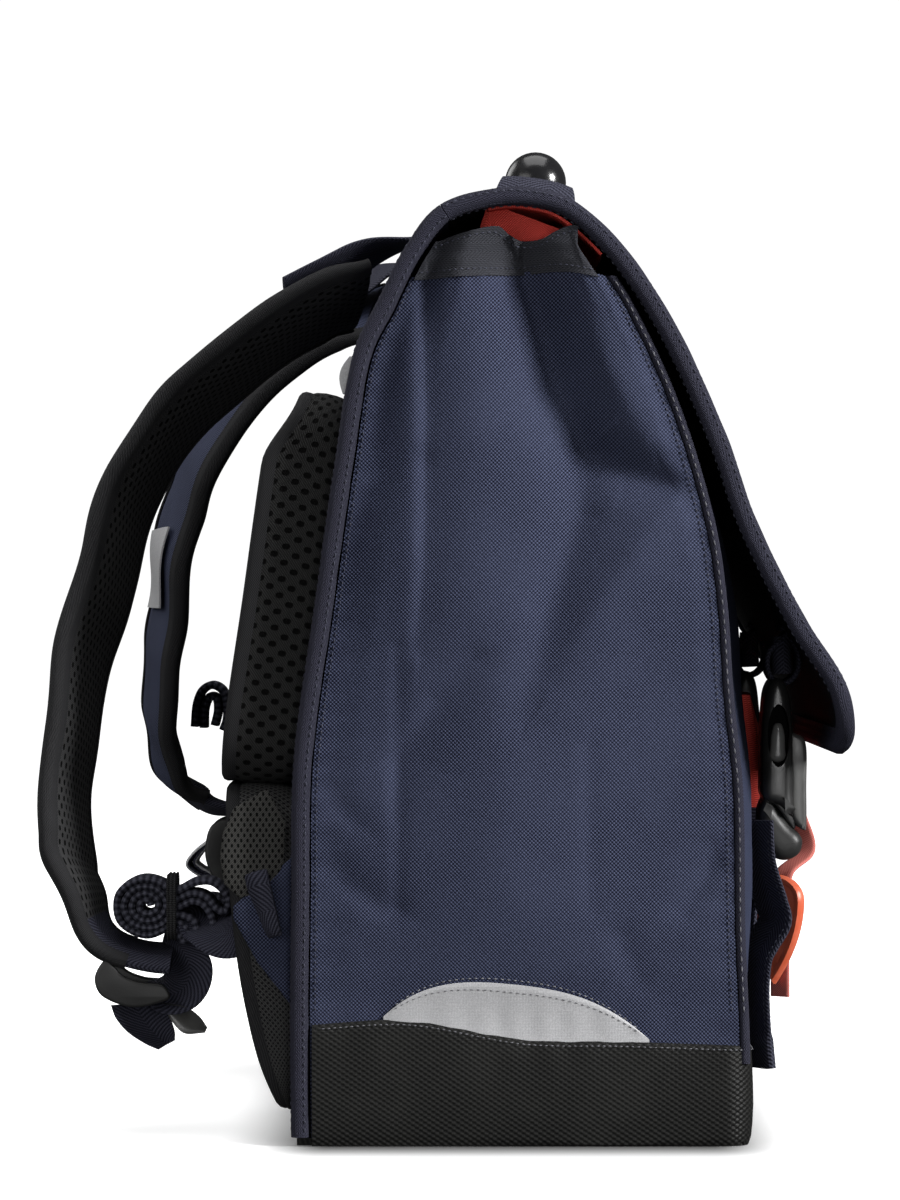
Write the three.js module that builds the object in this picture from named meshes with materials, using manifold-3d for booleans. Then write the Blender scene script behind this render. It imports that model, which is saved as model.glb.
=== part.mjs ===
// A child's school satchel that is worn as a backpack: a boxy cloth bag with a lid that comes over the top
// and down the front, two snap buckles, a coated base, a padded air-mesh back and two padded straps.
//
// Millimetres, +Z up. The origin is the middle of the underside. -Y is the front with the lid and buckles,
// +Y is the worn side with the pads and straps, and X runs across, with the wearer's left at -X.
import * as THREE from "three";
import { mergeVertices } from "three/addons/utils/BufferGeometryUtils.js";
import Module from "manifold-3d";

const wasm = await Module();
wasm.setup();

// Overall sizes of the bag
const bagWidth = 380; // across the bound edges of the back and lid
const bagDepth = 168; // front to back at the base
const bagHeight = 350; // floor to the crown of the lid
const seatGap = 0.3; // between pieces that touch

// Walls
const boardWall = 5; // padded board of the back panel
const lidWall = 4; // lid, two cloths and a stiffener
const clothWall = 2; // side panels and front panel
const facingWall = 1; // lining and reflective cloth
const patchWall = 0.7; // reflective patch of a strap
const baseWall = 3; // coated bottom plate
const baseSideWall = 2; // coated band round the base
const baseRise = 41; // height of the coated band

// Bound edges
const bindingWide = 10; // tape of the back and lid, measured in the panel
const bindingThick = 6.6; // and through it
const frontTapeWide = 6; // tape of the front seams
const frontTapeThick = 3.6;
const topBandTall = 13; // webbing along the top of each side panel
const topBandThick = 3;

// Side panels and front
const sideInset = 4; // side panel inside the bound edge
const creaseDepth = 17; // deepest crease of a side panel
const frontSwell = 6; // how far the front panel bellies out

// Lid
const lidCorner = 26; // radius of its lower corners

// Half-moon reflector at the foot of each side panel
const moonChord = 97;
const moonRise = 19;
const moonShift = -1; // its middle, towards the front

// Front pocket
const pocketHalfWide = 0.221 * bagWidth;
const pocketDeep = 11;
const pocketFoot = 38; // height of its lower edge
const pocketZipUp = 0.3314 * bagHeight; // height of the zip
const pocketTop = 0.4657 * bagHeight;
const zipTall = 7;

// Pads of the back
const padWide = 132;
const padInset = 8; // from the bound edge
const padDeep = 27.5;
const padSplit = 131; // height where upper and lower pads meet
const padTop = 273;
const padFoot = 12;

// Shoulder straps
const strapWide = 62;
const strapThick = 11;
const strapReachLeft = 88; // how far the left strap stands behind the bag
const strapReachRight = 69;
const webbingWide = 25;
const webbingThick = 2.2;
const rollRadius = 12;
const rollTurns = 3;
const bandWide = 6; // elastic band round the roll
const bandThick = 1.2;
const adjusterWide = 32;
const adjusterCheek = 3;
const adjusterLong = 28;
const adjusterTall = 17;
const adjusterBar = 1.9; // radius
const anchorWall = 2.5;

// Handle
const gripRadius = 12;
const gripLength = 104;
const handleReach = 84; // from the middle to the sewn end
const handleWide = 27;
const handleSeat = -6; // where the grip lies, front of the middle
const handleLift = 2.4; // grip above the lid

// Buckles
const buckleAcross = 0.2895 * bagWidth; // from the middle of the bag
const buckleWide = 36;
const buckleDeep = 18;
const buckleTall = 68;
const buckleFoot = 0.29 * bagHeight; // height of its lower end
const buckleStand = bagDepth / 2 + 7; // from the middle of the bag to its back
const tailTwist = 20;

// Zip puller
const pullerWide = 27;
const pullerTall = 45;
const pullerThick = 4;
const pullerTurn = 48; // degrees out of the front


const halfWide = bagWidth / 2;
const halfDeep = bagDepth / 2;
const panelHalf = halfWide - bindingWide - seatGap;

// Outline of the back and the lid, from the foot of the back over the crown to the lip of the lid:
// back is a share of half the depth, up a share of the height.
const backRows = [
  { back: 0.99, up: 0 },
  { back: 0.995, up: 0.12 },
  { back: 0.99, up: 0.26 },
  { back: 0.98, up: 0.4 },
  { back: 0.885, up: 0.57 },
  { back: 0.8, up: 0.714 },
  { back: 0.715, up: 0.832 },
  { back: 0.612, up: 0.883 },
  { back: 0.499, up: 0.937 },
  { back: 0.346, up: 0.982 },
];
const lidRows = [
  { back: 0.092, up: 1.0 },
  { back: -0.05, up: 1.0 },
  { back: -0.213, up: 0.99 },
  { back: -0.42, up: 0.949 },
  { back: -0.664, up: 0.865 },
  { back: -0.907, up: 0.739 },
  { back: -1.028, up: 0.656 },
  { back: -1.25, up: 0.549 },
  { back: -1.424, up: 0.482 },
  { back: -1.467, up: 0.434 },
  { back: -1.456, up: 0.417 },
  { back: -1.422, up: 0.404 },
];

// Front edge of the side panels: front is a share of half the depth, up a share of the height.
const frontRows = [
  { front: 0.985, up: 0 },
  { front: 0.985, up: 0.1 },
  { front: 0.965, up: 0.22 },
  { front: 0.955, up: 0.37 },
  { front: 0.915, up: 0.466 },
  { front: 0.885, up: 0.569 },
  { front: 0.83, up: 0.654 },
  { front: 0.675, up: 0.777 },
  { front: 0.47, up: 0.883 },
  { front: 0.31, up: 0.94 },
];

// Creases of a side panel. Each is a soft line from one point to another, given as shares of the way from
// the back edge to the front edge and from the foot to the top; deep is a share of creaseDepth, and a
// negative one swells out; spread is a share of the bag's depth.
const creases = [
  { across: 0.5, up: 1.06, toAcross: 0.6, toUp: 0.88, deep: 1.0, toDeep: 0.85, spread: 0.17 },
  { across: 0.6, up: 0.88, toAcross: 0.72, toUp: 0.78, deep: 0.5, toDeep: 0.6, spread: 0.12 },
  { across: 0.72, up: 0.78, toAcross: 0.97, toUp: 0.735, deep: 0.45, toDeep: 0.5, spread: 0.07 },
  { across: 0.06, up: 0.95, toAcross: 0.1, toUp: 0.72, deep: 0.3, toDeep: 0.22, spread: 0.08 },
  { across: 0.23, up: 0.96, toAcross: 0.24, toUp: 0.72, deep: -0.18, toDeep: -0.1, spread: 0.06 },
  { across: 0.45, up: 0.6, toAcross: 0.5, toUp: 0.3, deep: -0.42, toDeep: -0.42, spread: 0.3 },
  { across: 0.86, up: 0.225, toAcross: 0.99, toUp: 0.29, deep: 0.2, toDeep: 0.22, spread: 0.05 },
  { across: 0.03, up: 0.34, toAcross: 0.22, toUp: 0.24, deep: -0.14, toDeep: -0.1, spread: 0.05 },
];

// Top edge of a side panel: up is a share of the height.
const topRows = [
  { across: 0, up: 0.908 },
  { across: 0.3, up: 0.912 },
  { across: 0.55, up: 0.914 },
  { across: 0.8, up: 0.916 },
  { across: 1, up: 0.908 },
];

// Upper edge of the coated base band along the side: rise is a share of baseRise.
const baseRows = [
  { across: 0, rise: 1.08 },
  { across: 0.22, rise: 1.12 },
  { across: 0.48, rise: 0.95 },
  { across: 0.7, rise: 0.93 },
  { across: 1, rise: 0.89 },
];

// How thick the lower pad is, from its foot to its top, as shares of padDeep.
const lumbarRows = [
  { up: 0, thick: 0.12 },
  { up: 0.16, thick: 0.4 },
  { up: 0.35, thick: 0.62 },
  { up: 0.51, thick: 0.75 },
  { up: 0.7, thick: 0.85 },
  { up: 1, thick: 0.92 },
];

// Shoulder straps from the root down. off is how far the middle of the strap stands behind the back panel,
// as a share of the strap's reach; up is a share of the height; out a share of half the width; wide and
// thick are shares of the strap's own; turn is in degrees about its length.
const leftStrapRows = [
  { off: 0.15, up: 0.906, out: 0.34, wide: 0.98, thick: 0.8, turn: 30 },
  { off: 0.28, up: 0.894, out: 0.36, wide: 1.0, thick: 1.0, turn: 27 },
  { off: 0.45, up: 0.858, out: 0.39, wide: 1.0, thick: 1.1, turn: 22 },
  { off: 0.72, up: 0.78, out: 0.43, wide: 1.0, thick: 1.1, turn: 17 },
  { off: 0.88, up: 0.7, out: 0.48, wide: 1.0, thick: 1.1, turn: 14 },
  { off: 0.955, up: 0.6, out: 0.53, wide: 0.98, thick: 1.15, turn: 13 },
  { off: 0.985, up: 0.5, out: 0.58, wide: 0.96, thick: 1.05, turn: 12 },
  { off: 1.0, up: 0.4, out: 0.63, wide: 0.92, thick: 1.0, turn: 10 },
  { off: 0.985, up: 0.31, out: 0.67, wide: 0.85, thick: 1.0, turn: 9 },
  { off: 0.95, up: 0.275, out: 0.69, wide: 0.76, thick: 0.95, turn: 7 },
  { off: 0.87, up: 0.225, out: 0.7, wide: 0.66, thick: 0.85, turn: 5 },
  { off: 0.72, up: 0.193, out: 0.7, wide: 0.58, thick: 0.6, turn: 4 },
  { off: 0.545, up: 0.192, out: 0.7, wide: 0.54, thick: 0.4, turn: 4 },
];
const rightStrapRows = [
  { off: 0.13, up: 0.908, out: 0.34, wide: 0.98, thick: 0.8, turn: 30 },
  { off: 0.3, up: 0.895, out: 0.36, wide: 1.0, thick: 1.0, turn: 27 },
  { off: 0.56, up: 0.855, out: 0.39, wide: 1.0, thick: 1.1, turn: 22 },
  { off: 0.86, up: 0.76, out: 0.43, wide: 1.0, thick: 1.1, turn: 16 },
  { off: 0.98, up: 0.68, out: 0.48, wide: 1.0, thick: 1.1, turn: 12 },
  { off: 1.0, up: 0.585, out: 0.53, wide: 0.98, thick: 1.1, turn: 10 },
  { off: 0.99, up: 0.5, out: 0.58, wide: 0.96, thick: 1.05, turn: 9 },
  { off: 0.96, up: 0.42, out: 0.63, wide: 0.92, thick: 1.0, turn: 8 },
  { off: 0.88, up: 0.365, out: 0.67, wide: 0.8, thick: 0.95, turn: 6 },
  { off: 0.72, up: 0.33, out: 0.7, wide: 0.66, thick: 0.8, turn: 4 },
  { off: 0.52, up: 0.315, out: 0.7, wide: 0.56, thick: 0.5, turn: 2 },
];

// Webbing between a strap's adjuster and its anchor at the side of the lower pad: columns as for the
// straps, and lean, in degrees, is how far its width tips up from lying across the bag.
const leftWebRows = [
  { off: 0.515, up: 0.163, out: 0.7, lean: 0 },
  { off: 0.37, up: 0.166, out: 0.7, lean: 0 },
  { off: 0.33, up: 0.192, out: 0.71, lean: 0 },
  { off: 0.38, up: 0.222, out: 0.725, lean: 6 },
  { off: 0.45, up: 0.245, out: 0.755, lean: 30 },
  { off: 0.44, up: 0.258, out: 0.805, lean: 65 },
  { off: 0.39, up: 0.255, out: 0.87, lean: 84 },
  { off: 0.33, up: 0.248, out: 0.925, lean: 90 },
  { off: 0.24, up: 0.244, out: 0.945, lean: 90 },
  { off: 0.13, up: 0.242, out: 0.945, lean: 90 },
];
const rightWebRows = [
  { off: 0.43, up: 0.208, out: 0.7, lean: 0 },
  { off: 0.41, up: 0.192, out: 0.71, lean: 8 },
  { off: 0.41, up: 0.187, out: 0.75, lean: 40 },
  { off: 0.42, up: 0.205, out: 0.83, lean: 76 },
  { off: 0.4, up: 0.228, out: 0.91, lean: 88 },
  { off: 0.32, up: 0.24, out: 0.945, lean: 90 },
  { off: 0.17, up: 0.242, out: 0.945, lean: 90 },
];

// Loose tail of a buckle strap, hanging in front of the pocket: front is a share of half the depth.
const tailRows = [
  { front: 1.06, up: 0.318 },
  { front: 1.07, up: 0.283 },
  { front: 1.12, up: 0.246 },
  { front: 1.145, up: 0.219 },
  { front: 1.1, up: 0.194 },
  { front: 1.065, up: 0.172 },
  { front: 1.075, up: 0.135 },
  { front: 1.105, up: 0.098 },
  { front: 1.12, up: 0.07 },
];

const navy = cloth(0x2b3250, 0.82);
const navyTape = cloth(0x1d2033, 0.88);
const blackMesh = cloth(0x1a1a1b, 0.92);
const coated = cloth(0x1c1c1d, 0.55);
const coral = cloth(0xb8423a, 0.8);
const silver = cloth(0xa9a9ac, 0.45);
const plastic = cloth(0x141414, 0.35);
const orange = cloth(0xd9634a, 0.4);

function cloth(color, roughness) {
  return new THREE.MeshStandardMaterial({ color, roughness, metalness: 0 });
}

// Value of a column at a place along a table, smooth through its rows.
function columnAt(rows, key, column, place) {
  const last = rows.length - 1;
  let i = 0;
  while (i < last - 1 && place > rows[i + 1][key]) i++;
  const a = rows[i];
  const b = rows[i + 1];
  const before = rows[Math.max(i - 1, 0)];
  const after = rows[Math.min(i + 2, last)];
  const run = b[key] - a[key];
  const t = Math.min(Math.max((place - a[key]) / run, 0), 1);
  const slopeA = ((b[column] - before[column]) / (b[key] - before[key])) * run;
  const slopeB = ((after[column] - a[column]) / (after[key] - a[key])) * run;
  const t2 = t * t;
  const t3 = t2 * t;
  const startPart = (2 * t3 - 3 * t2 + 1) * a[column] + (t3 - 2 * t2 + t) * slopeA;
  return startPart + (3 * t2 - 2 * t3) * b[column] + (t3 - t2) * slopeB;
}

// 0 before the first value, 1 after the second, smooth between them.
function ease(value, from, to) {
  const t = Math.min(Math.max((value - from) / (to - from), 0), 1);
  return t * t * (3 - 2 * t);
}

function mix(a, b, share) {
  return a + (b - a) * share;
}

// A closed solid from its corners and triangles, turned to face outwards.
function solid(corners, triangles) {
  let sixVolumes = 0;
  for (let i = 0; i < triangles.length; i += 3) {
    const [a, b, c] = [corners[triangles[i]], corners[triangles[i + 1]], corners[triangles[i + 2]]];
    sixVolumes += a.dot(b.clone().cross(c));
  }
  if (sixVolumes < 0) triangles.reverse();
  const geometry = new THREE.BufferGeometry();
  geometry.setAttribute(
    "position",
    new THREE.Float32BufferAttribute(
      corners.flatMap((p) => [p.x, p.y, p.z]),
      3,
    ),
  );
  geometry.setIndex(triangles);
  geometry.computeVertexNormals();
  return geometry;
}

// A wall between two surfaces over the same grid, closed round its rim.
function wall(columns, rows, outer, inner) {
  const corners = [];
  const triangles = [];
  const wide = columns + 1;
  for (const face of [outer, inner])
    for (let j = 0; j <= rows; j++)
      for (let i = 0; i <= columns; i++) corners.push(face(i / columns, j / rows));
  const half = wide * (rows + 1);
  const quad = (a, b, c, d) => triangles.push(a, b, c, a, c, d);
  for (let j = 0; j < rows; j++)
    for (let i = 0; i < columns; i++) {
      const a = j * wide + i;
      quad(a, a + 1, a + 1 + wide, a + wide);
      quad(half + a, half + a + wide, half + a + 1 + wide, half + a + 1);
    }
  for (let i = 0; i < columns; i++) {
    const top = rows * wide + i;
    quad(i + 1, i, half + i, half + i + 1);
    quad(top, top + 1, half + top + 1, half + top);
  }
  for (let j = 0; j < rows; j++) {
    const left = j * wide;
    const right = left + columns;
    quad(left, left + wide, half + left + wide, half + left);
    quad(right + wide, right, half + right, half + right + wide);
  }
  return solid(corners, triangles);
}

// A solid through rings of corners, with its ends closed, or joined end to end when it is a hoop.
function loft(rings, hoop = false) {
  const count = rings[0].length;
  const triangles = [];
  const steps = hoop ? rings.length : rings.length - 1;
  for (let j = 0; j < steps; j++)
    for (let i = 0; i < count; i++) {
      const a = j * count + i;
      const b = j * count + ((i + 1) % count);
      const c = ((j + 1) % rings.length) * count + i;
      const d = ((j + 1) % rings.length) * count + ((i + 1) % count);
      triangles.push(a, b, d, a, d, c);
    }
  if (!hoop) {
    const end = (rings.length - 1) * count;
    for (let i = 1; i < count - 1; i++) triangles.push(0, i + 1, i, end, end + i, end + i + 1);
  }
  return solid(rings.flat(), triangles);
}

// A prism across the bag: its outline is [y, z] points.
function across(outline, from, to, bevel = 0) {
  const shape = new THREE.Shape(outline.map(([y, z]) => new THREE.Vector2(y, z)));
  const geometry = new THREE.ExtrudeGeometry(shape, {
    depth: to - from - 2 * bevel,
    bevelEnabled: bevel > 0,
    bevelThickness: bevel,
    bevelSize: bevel,
    bevelOffset: -bevel,
    bevelSegments: 1,
    curveSegments: 8,
  });
  const turn = new THREE.Matrix4().makeBasis(
    new THREE.Vector3(0, 1, 0),
    new THREE.Vector3(0, 0, 1),
    new THREE.Vector3(1, 0, 0),
  );
  return geometry.applyMatrix4(turn).translate(from + bevel, 0, 0);
}

// Joins and cuts of closed geometries.
function toManifold(geometry) {
  const bare = geometry.index ? geometry.toNonIndexed() : geometry.clone();
  bare.deleteAttribute("normal");
  bare.deleteAttribute("uv");
  const merged = mergeVertices(bare, 1e-4);
  return new wasm.Manifold(
    new wasm.Mesh({
      numProp: 3,
      vertProperties: merged.attributes.position.array,
      triVerts: new Uint32Array(merged.index.array),
    }),
  );
}

function fromManifold(body) {
  const mesh = body.getMesh();
  const geometry = new THREE.BufferGeometry();
  geometry.setAttribute("position", new THREE.BufferAttribute(mesh.vertProperties, 3));
  geometry.setIndex(new THREE.BufferAttribute(mesh.triVerts, 1));
  geometry.computeVertexNormals();
  return geometry;
}

function join(...geometries) {
  return fromManifold(geometries.map(toManifold).reduce((all, one) => all.add(one)));
}

function cut(geometry, ...tools) {
  return fromManifold(tools.map(toManifold).reduce((left, tool) => left.subtract(tool), toManifold(geometry)));
}

// The middle line of the back and lid, walked by length, with its outward normal.
function makeShellLine() {
  const rows = [...backRows, ...lidRows];
  const outline = new THREE.CatmullRomCurve3(
    rows.map((r) => new THREE.Vector3(0, r.back * halfDeep, r.up * bagHeight)),
    false,
    "centripetal",
  );
  const perRow = 12;
  const steps = (rows.length - 1) * perRow;
  const stations = [];
  for (let i = 0; i <= steps; i++) {
    const p = outline.getPoint(i / steps);
    const t = outline.getTangent(i / steps);
    const y = p.y - (t.z * bindingThick) / 2;
    const z = p.z + (t.y * bindingThick) / 2;
    const last = stations[i - 1];
    const along = last ? last.along + Math.hypot(y - last.y, z - last.z) : 0;
    stations.push({ along, y, z, ny: t.z, nz: -t.y });
  }
  const at = (along) => {
    let i = 0;
    while (i < stations.length - 2 && along > stations[i + 1].along) i++;
    const a = stations[i];
    const b = stations[i + 1];
    const t = (along - a.along) / (b.along - a.along);
    return { y: mix(a.y, b.y, t), z: mix(a.z, b.z, t), ny: mix(a.ny, b.ny, t), nz: mix(a.nz, b.nz, t) };
  };
  return { at, seam: stations[(backRows.length - 1) * perRow].along, end: stations.at(-1).along };
}
const shellLine = makeShellLine();

// Where the shell line passes a height on the worn side.
function alongAtHeight(height) {
  let low = 0;
  let high = shellLine.seam;
  for (let i = 0; i < 30; i++) {
    const middle = (low + high) / 2;
    if (shellLine.at(middle).z < height) low = middle;
    else high = middle;
  }
  return low;
}

// Where the shell line passes a depth over the crown.
function alongAtDepth(depth) {
  let low = shellLine.seam * 0.9;
  let high = shellLine.end;
  for (let i = 0; i < 30; i++) {
    const middle = (low + high) / 2;
    if (shellLine.at(middle).y > depth) low = middle;
    else high = middle;
  }
  return low;
}

// A point of the back or lid: x across, along the line, lifted from its middle surface.
function shellPoint(x, along, lift) {
  const p = shellLine.at(along);
  return new THREE.Vector3(x, p.y + p.ny * lift, p.z + p.nz * lift);
}

// Y of the back panel's surface at a height, lifted from its middle.
function backFace(height, lift) {
  const p = shellLine.at(alongAtHeight(height));
  return p.y + lift / p.ny;
}

function frontLine(height) {
  return -columnAt(frontRows, "up", "front", height / bagHeight) * halfDeep;
}

const baseTop = baseWall + seatGap;
const panelFace = boardWall / 2 + seatGap;
const sideBackLift = -(bindingThick / 2 + 2 * seatGap);
const frontTapeBack = frontTapeThick / 2 + seatGap;

// How far a side panel's surface lies inside its flat plane.
function creaseAt(share, up) {
  const depthRun = bagDepth;
  const heightRun = bagHeight * topRows[0].up;
  let sum = 0;
  for (const c of creases) {
    const ay = c.across * depthRun;
    const az = c.up * heightRun;
    const dy = c.toAcross * depthRun - ay;
    const dz = c.toUp * heightRun - az;
    const py = share * depthRun - ay;
    const pz = up * heightRun - az;
    const t = Math.min(Math.max((py * dy + pz * dz) / (dy * dy + dz * dz), 0), 1);
    const away = Math.hypot(py - dy * t, pz - dz * t) / (c.spread * depthRun);
    sum += mix(c.deep, c.toDeep, t) * Math.exp(-away * away);
  }
  const seamFade = ease(share, 0, 0.16) * ease(1 - share, 0, 0.1);
  const footFade = ease(up, 0.13, 0.3);
  return sum * creaseDepth * seamFade * footFade;
}

function sideTop(share) {
  return columnAt(topRows, "across", "up", share) * bagHeight;
}

// A point of a side panel; proud is how far outside the cloth's outer face it lies.
function sidePoint(side, share, height, proud) {
  const up = (height - baseTop) / (sideTop(share) - baseTop);
  const backY = backFace(height, sideBackLift);
  const frontY = frontLine(height) + frontTapeBack;
  const x = halfWide - sideInset - creaseAt(share, Math.min(up, 1)) + proud;
  return new THREE.Vector3(side * x, mix(backY, frontY, share), height);
}

function backPanel() {
  const foot = alongAtHeight(baseTop);
  const point = (lift) => (u, v) =>
    shellPoint(mix(-panelHalf, panelHalf, u), mix(foot, shellLine.seam, v), lift);
  return wall(2, 22, point(boardWall / 2), point(-boardWall / 2));
}

// Half width of the lid's cloth inside its bound edge.
function lidHalf(along, inset) {
  const radius = lidCorner - inset;
  const intoCorner = along - (shellLine.end - lidCorner);
  if (intoCorner <= 0) return halfWide - inset;
  return halfWide - lidCorner + Math.sqrt(Math.max(radius * radius - intoCorner * intoCorner, 0));
}

function lid() {
  const start = shellLine.seam + seatGap;
  const inset = bindingWide + seatGap;
  const end = shellLine.end - inset;
  const bow = (v) => Math.pow(v, 0.8); // stations crowd towards the rounded corners
  const point = (lift) => (u, v) => {
    const along = mix(start, end - 0.5, bow(v));
    return shellPoint((2 * u - 1) * lidHalf(along, inset), along, lift);
  };
  return wall(10, 18, point(lidWall / 2), point(-lidWall / 2));
}

// Section of the folded tape: out is a share of its width from its inner edge, lift a share of half its
// thickness.
const tapeSection = [
  { out: 0, lift: -0.9 },
  { out: 0.7, lift: -1 },
  { out: 1, lift: -0.45 },
  { out: 1, lift: 0.45 },
  { out: 0.7, lift: 1 },
  { out: 0, lift: 0.9 },
];

function lidBinding() {
  const start = shellLine.seam + seatGap;
  const straight = shellLine.end - lidCorner;
  const places = [];
  for (let i = 0; i <= 18; i++) places.push({ x: -halfWide, along: mix(start, straight, i / 18), nx: -1, na: 0 });
  for (let i = 1; i <= 6; i++) {
    const angle = (i / 6) * (Math.PI / 2);
    places.push({
      x: -(halfWide - lidCorner + lidCorner * Math.cos(angle)),
      along: straight + lidCorner * Math.sin(angle),
      nx: -Math.cos(angle),
      na: Math.sin(angle),
    });
  }
  const mirrored = places.map((p) => ({ x: -p.x, along: p.along, nx: -p.nx, na: p.na })).reverse();
  const rings = [...places, ...mirrored].map((p) =>
    tapeSection.map((s) => {
      const inwards = (1 - s.out) * bindingWide;
      return shellPoint(p.x - p.nx * inwards, p.along - p.na * inwards, (s.lift * bindingThick) / 2);
    }),
  );
  return loft(rings);
}

function backBinding(side) {
  const rings = [];
  for (let i = 0; i <= 22; i++) {
    const along = mix(alongAtHeight(baseTop), shellLine.seam, i / 22);
    rings.push(
      tapeSection.map((s) =>
        shellPoint(side * (halfWide - (1 - s.out) * bindingWide), along, (s.lift * bindingThick) / 2),
      ),
    );
  }
  return loft(rings);
}

// The facing under the crown of the lid.
function lidFacing() {
  const from = alongAtDepth(halfDeep * 0.14);
  const to = alongAtDepth(-halfDeep * 0.4);
    const point = (lift) => (u, v) => shellPoint(mix(-panelHalf, panelHalf, u), mix(from, to, v), lift);
  const under = -(lidWall / 2 + 5 * seatGap);
  return wall(10, 9, point(under), point(under - facingWall));
}

function sidePanel(side) {
  const point = (proud) => (u, v) => sidePoint(side, u, mix(baseTop, sideTop(u), v), proud);
  return wall(11, 13, point(0), point(-clothWall));
}

function topBand(side) {
  const point = (proud) => (u, v) => {
    const share = mix(0.035, 0.95, u);
    const tall = topBandTall * mix(0.45, 1, ease(1 - share, 0, 0.25));
    return sidePoint(side, share, sideTop(share) + mix(seatGap, tall, v), proud);
  };
  return wall(11, 1, point(0.5), point(0.5 - topBandThick));
}

const frontHalf = halfWide - sideInset - frontTapeWide;
const frontTop = bagHeight * 0.88;

// A point in front of the front panel's outer face.
function frontPoint(x, height, proud) {
  const acrossFade = Math.pow(Math.max(1 - (x * x) / (frontHalf * frontHalf), 0), 1.3);
  const rise = ease(height, baseTop, bagHeight * 0.3) * ease(frontTop - height, 0, bagHeight * 0.35);
  return new THREE.Vector3(x, frontLine(height) - frontSwell * acrossFade * rise - proud, height);
}

function frontPanel() {
  const point = (proud) => (u, v) =>
    frontPoint(mix(-frontHalf, frontHalf, u), mix(baseTop, frontTop, v), proud);
  return wall(10, 13, point(0), point(-clothWall));
}

function frontTape(side) {
  const rings = [];
  const outside = halfWide - sideInset + 1;
  for (let i = 0; i <= 14; i++) {
    const height = mix(baseTop, bagHeight * topRows.at(-1).up, i / 14);
    const y = frontLine(height);
    rings.push(
      tapeSection.map(
        (s) =>
          new THREE.Vector3(
            side * (outside - (1 - s.out) * frontTapeWide),
            y - (s.lift * frontTapeThick) / 2,
            height,
          ),
      ),
    );
  }
  return loft(rings);
}

// The coated bottom plate with its side and front bands.
function base() {
  const plateHalf = halfWide - sideInset + seatGap + baseSideWall;
  const back = halfDeep * backRows[0].back;
  const front = -halfDeep * frontRows[0].front - baseSideWall - 1;
  const foot = 2; // the underside draws in to a soft edge
  const corner = 14;
  const plate = (inset, height) => {
    const points = [];
    const x = plateHalf - inset;
    for (const [sx, sy] of [[1, 1], [-1, 1], [-1, -1], [1, -1]]) {
      const y = sy > 0 ? back - inset : front + inset;
      const clip = sy > 0 ? corner / 4 : corner / 3;
      const first = new THREE.Vector3(sx * x, y - sy * clip, height);
      const second = new THREE.Vector3(sx * (x - clip), y, height);
      points.push(...(sx * sy > 0 ? [first, second] : [second, first]));
    }
    return points;
  };
  const bottom = loft([plate(foot, 0), plate(0, foot * 0.6), plate(0, baseWall)]);
  const bands = [];
  for (const side of [-1, 1]) {
    const inner = halfWide - sideInset + seatGap;
    const outline = [];
    for (let i = 0; i <= 10; i++) {
      const share = i / 10;
      const height = baseRise * columnAt(baseRows, "across", "rise", share);
      const backY = backFace(height, sideBackLift);
      const frontY = frontLine(height) + frontTapeBack;
      outline.push([mix(backY, frontY, mix(0.005, 0.995, share)), height]);
    }
    outline.push([outline.at(-1)[0], baseWall - 1], [outline[0][0], baseWall - 1]);
    const [from, to] = side > 0 ? [inner, inner + baseSideWall] : [-inner - baseSideWall, -inner];
    bands.push(across(outline, from, to));
  }
  const face = (proud) => (u, v) =>
    frontPoint(mix(-frontHalf, frontHalf, u), mix(baseWall - 1, baseRise * baseRows.at(-1).rise, v), proud);
  const frontBand = wall(10, 2, face(2 * seatGap + baseSideWall), face(2 * seatGap));
  return join(bottom, ...bands, frontBand);
}

// The half-moon reflector lies on the side panel, its lower edge tucked behind the coated band.
function moon(side) {
  const radius = ((moonChord * moonChord) / 4 + moonRise * moonRise) / (2 * moonRise);
  const backY = backFace(baseRise, sideBackLift);
  const depthHere = backY - frontLine(baseRise) - frontTapeBack;
  const point = (proud) => (u, v) => {
    const offset = (u - 0.5) * moonChord * 0.98;
    const share = (backY + moonShift + offset) / depthHere;
    const seam = baseRise * columnAt(baseRows, "across", "rise", share) + seatGap;
    const arc = Math.sqrt(radius * radius - offset * offset) - (radius - moonRise);
    return sidePoint(side, share, mix(seam, seam + arc + 1, v), proud);
  };
  return wall(12, 2, point(3 * seatGap + facingWall), point(3 * seatGap));
}

// A flat pocket part on the front panel between two heights; depth in shares of pocketDeep.
function pocketPart(lowest, highest, depthAtFoot, depthAtTop, rowsUp) {
  const point = (outside) => (u, v) => {
    const x = mix(-pocketHalfWide, pocketHalfWide, u);
    const rim = 1 - 0.35 * Math.pow(Math.abs(2 * u - 1), 6);
    const deep = outside ? pocketDeep * mix(depthAtFoot, depthAtTop, v) * rim : 0;
    return frontPoint(x, mix(lowest, highest, v), 3 * seatGap + deep);
  };
  return wall(8, rowsUp, point(true), point(false));
}

// A pad of the back, on the board: thickAt gives its thickness at a share of its height.
function pad(side, lowest, highest, thickAt) {
  const inner = halfWide - bindingWide - padInset + 2 - padWide;
  const middle = side * (inner + padWide / 2);
  const from = alongAtHeight(lowest);
  const to = alongAtHeight(highest);
  const point = (outside) => (u, v) => {
    const a = 2 * u - 1;
    const b = 2 * v - 1;
    const x = middle + (a * padWide * (1 - 0.1 * Math.pow(b, 8))) / 2;
    const along = (from + to) / 2 + (b * (to - from) * (1 - 0.06 * Math.pow(a, 8))) / 2;
    const crown = 0.93 + 0.07 * (1 - Math.pow(a, 4)) * (1 - Math.pow(b, 6));
    return shellPoint(x, along, outside ? panelFace + padDeep * thickAt(v) * crown : panelFace);
  };
  return wall(7, 8, point(true), point(false));
}

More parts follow.
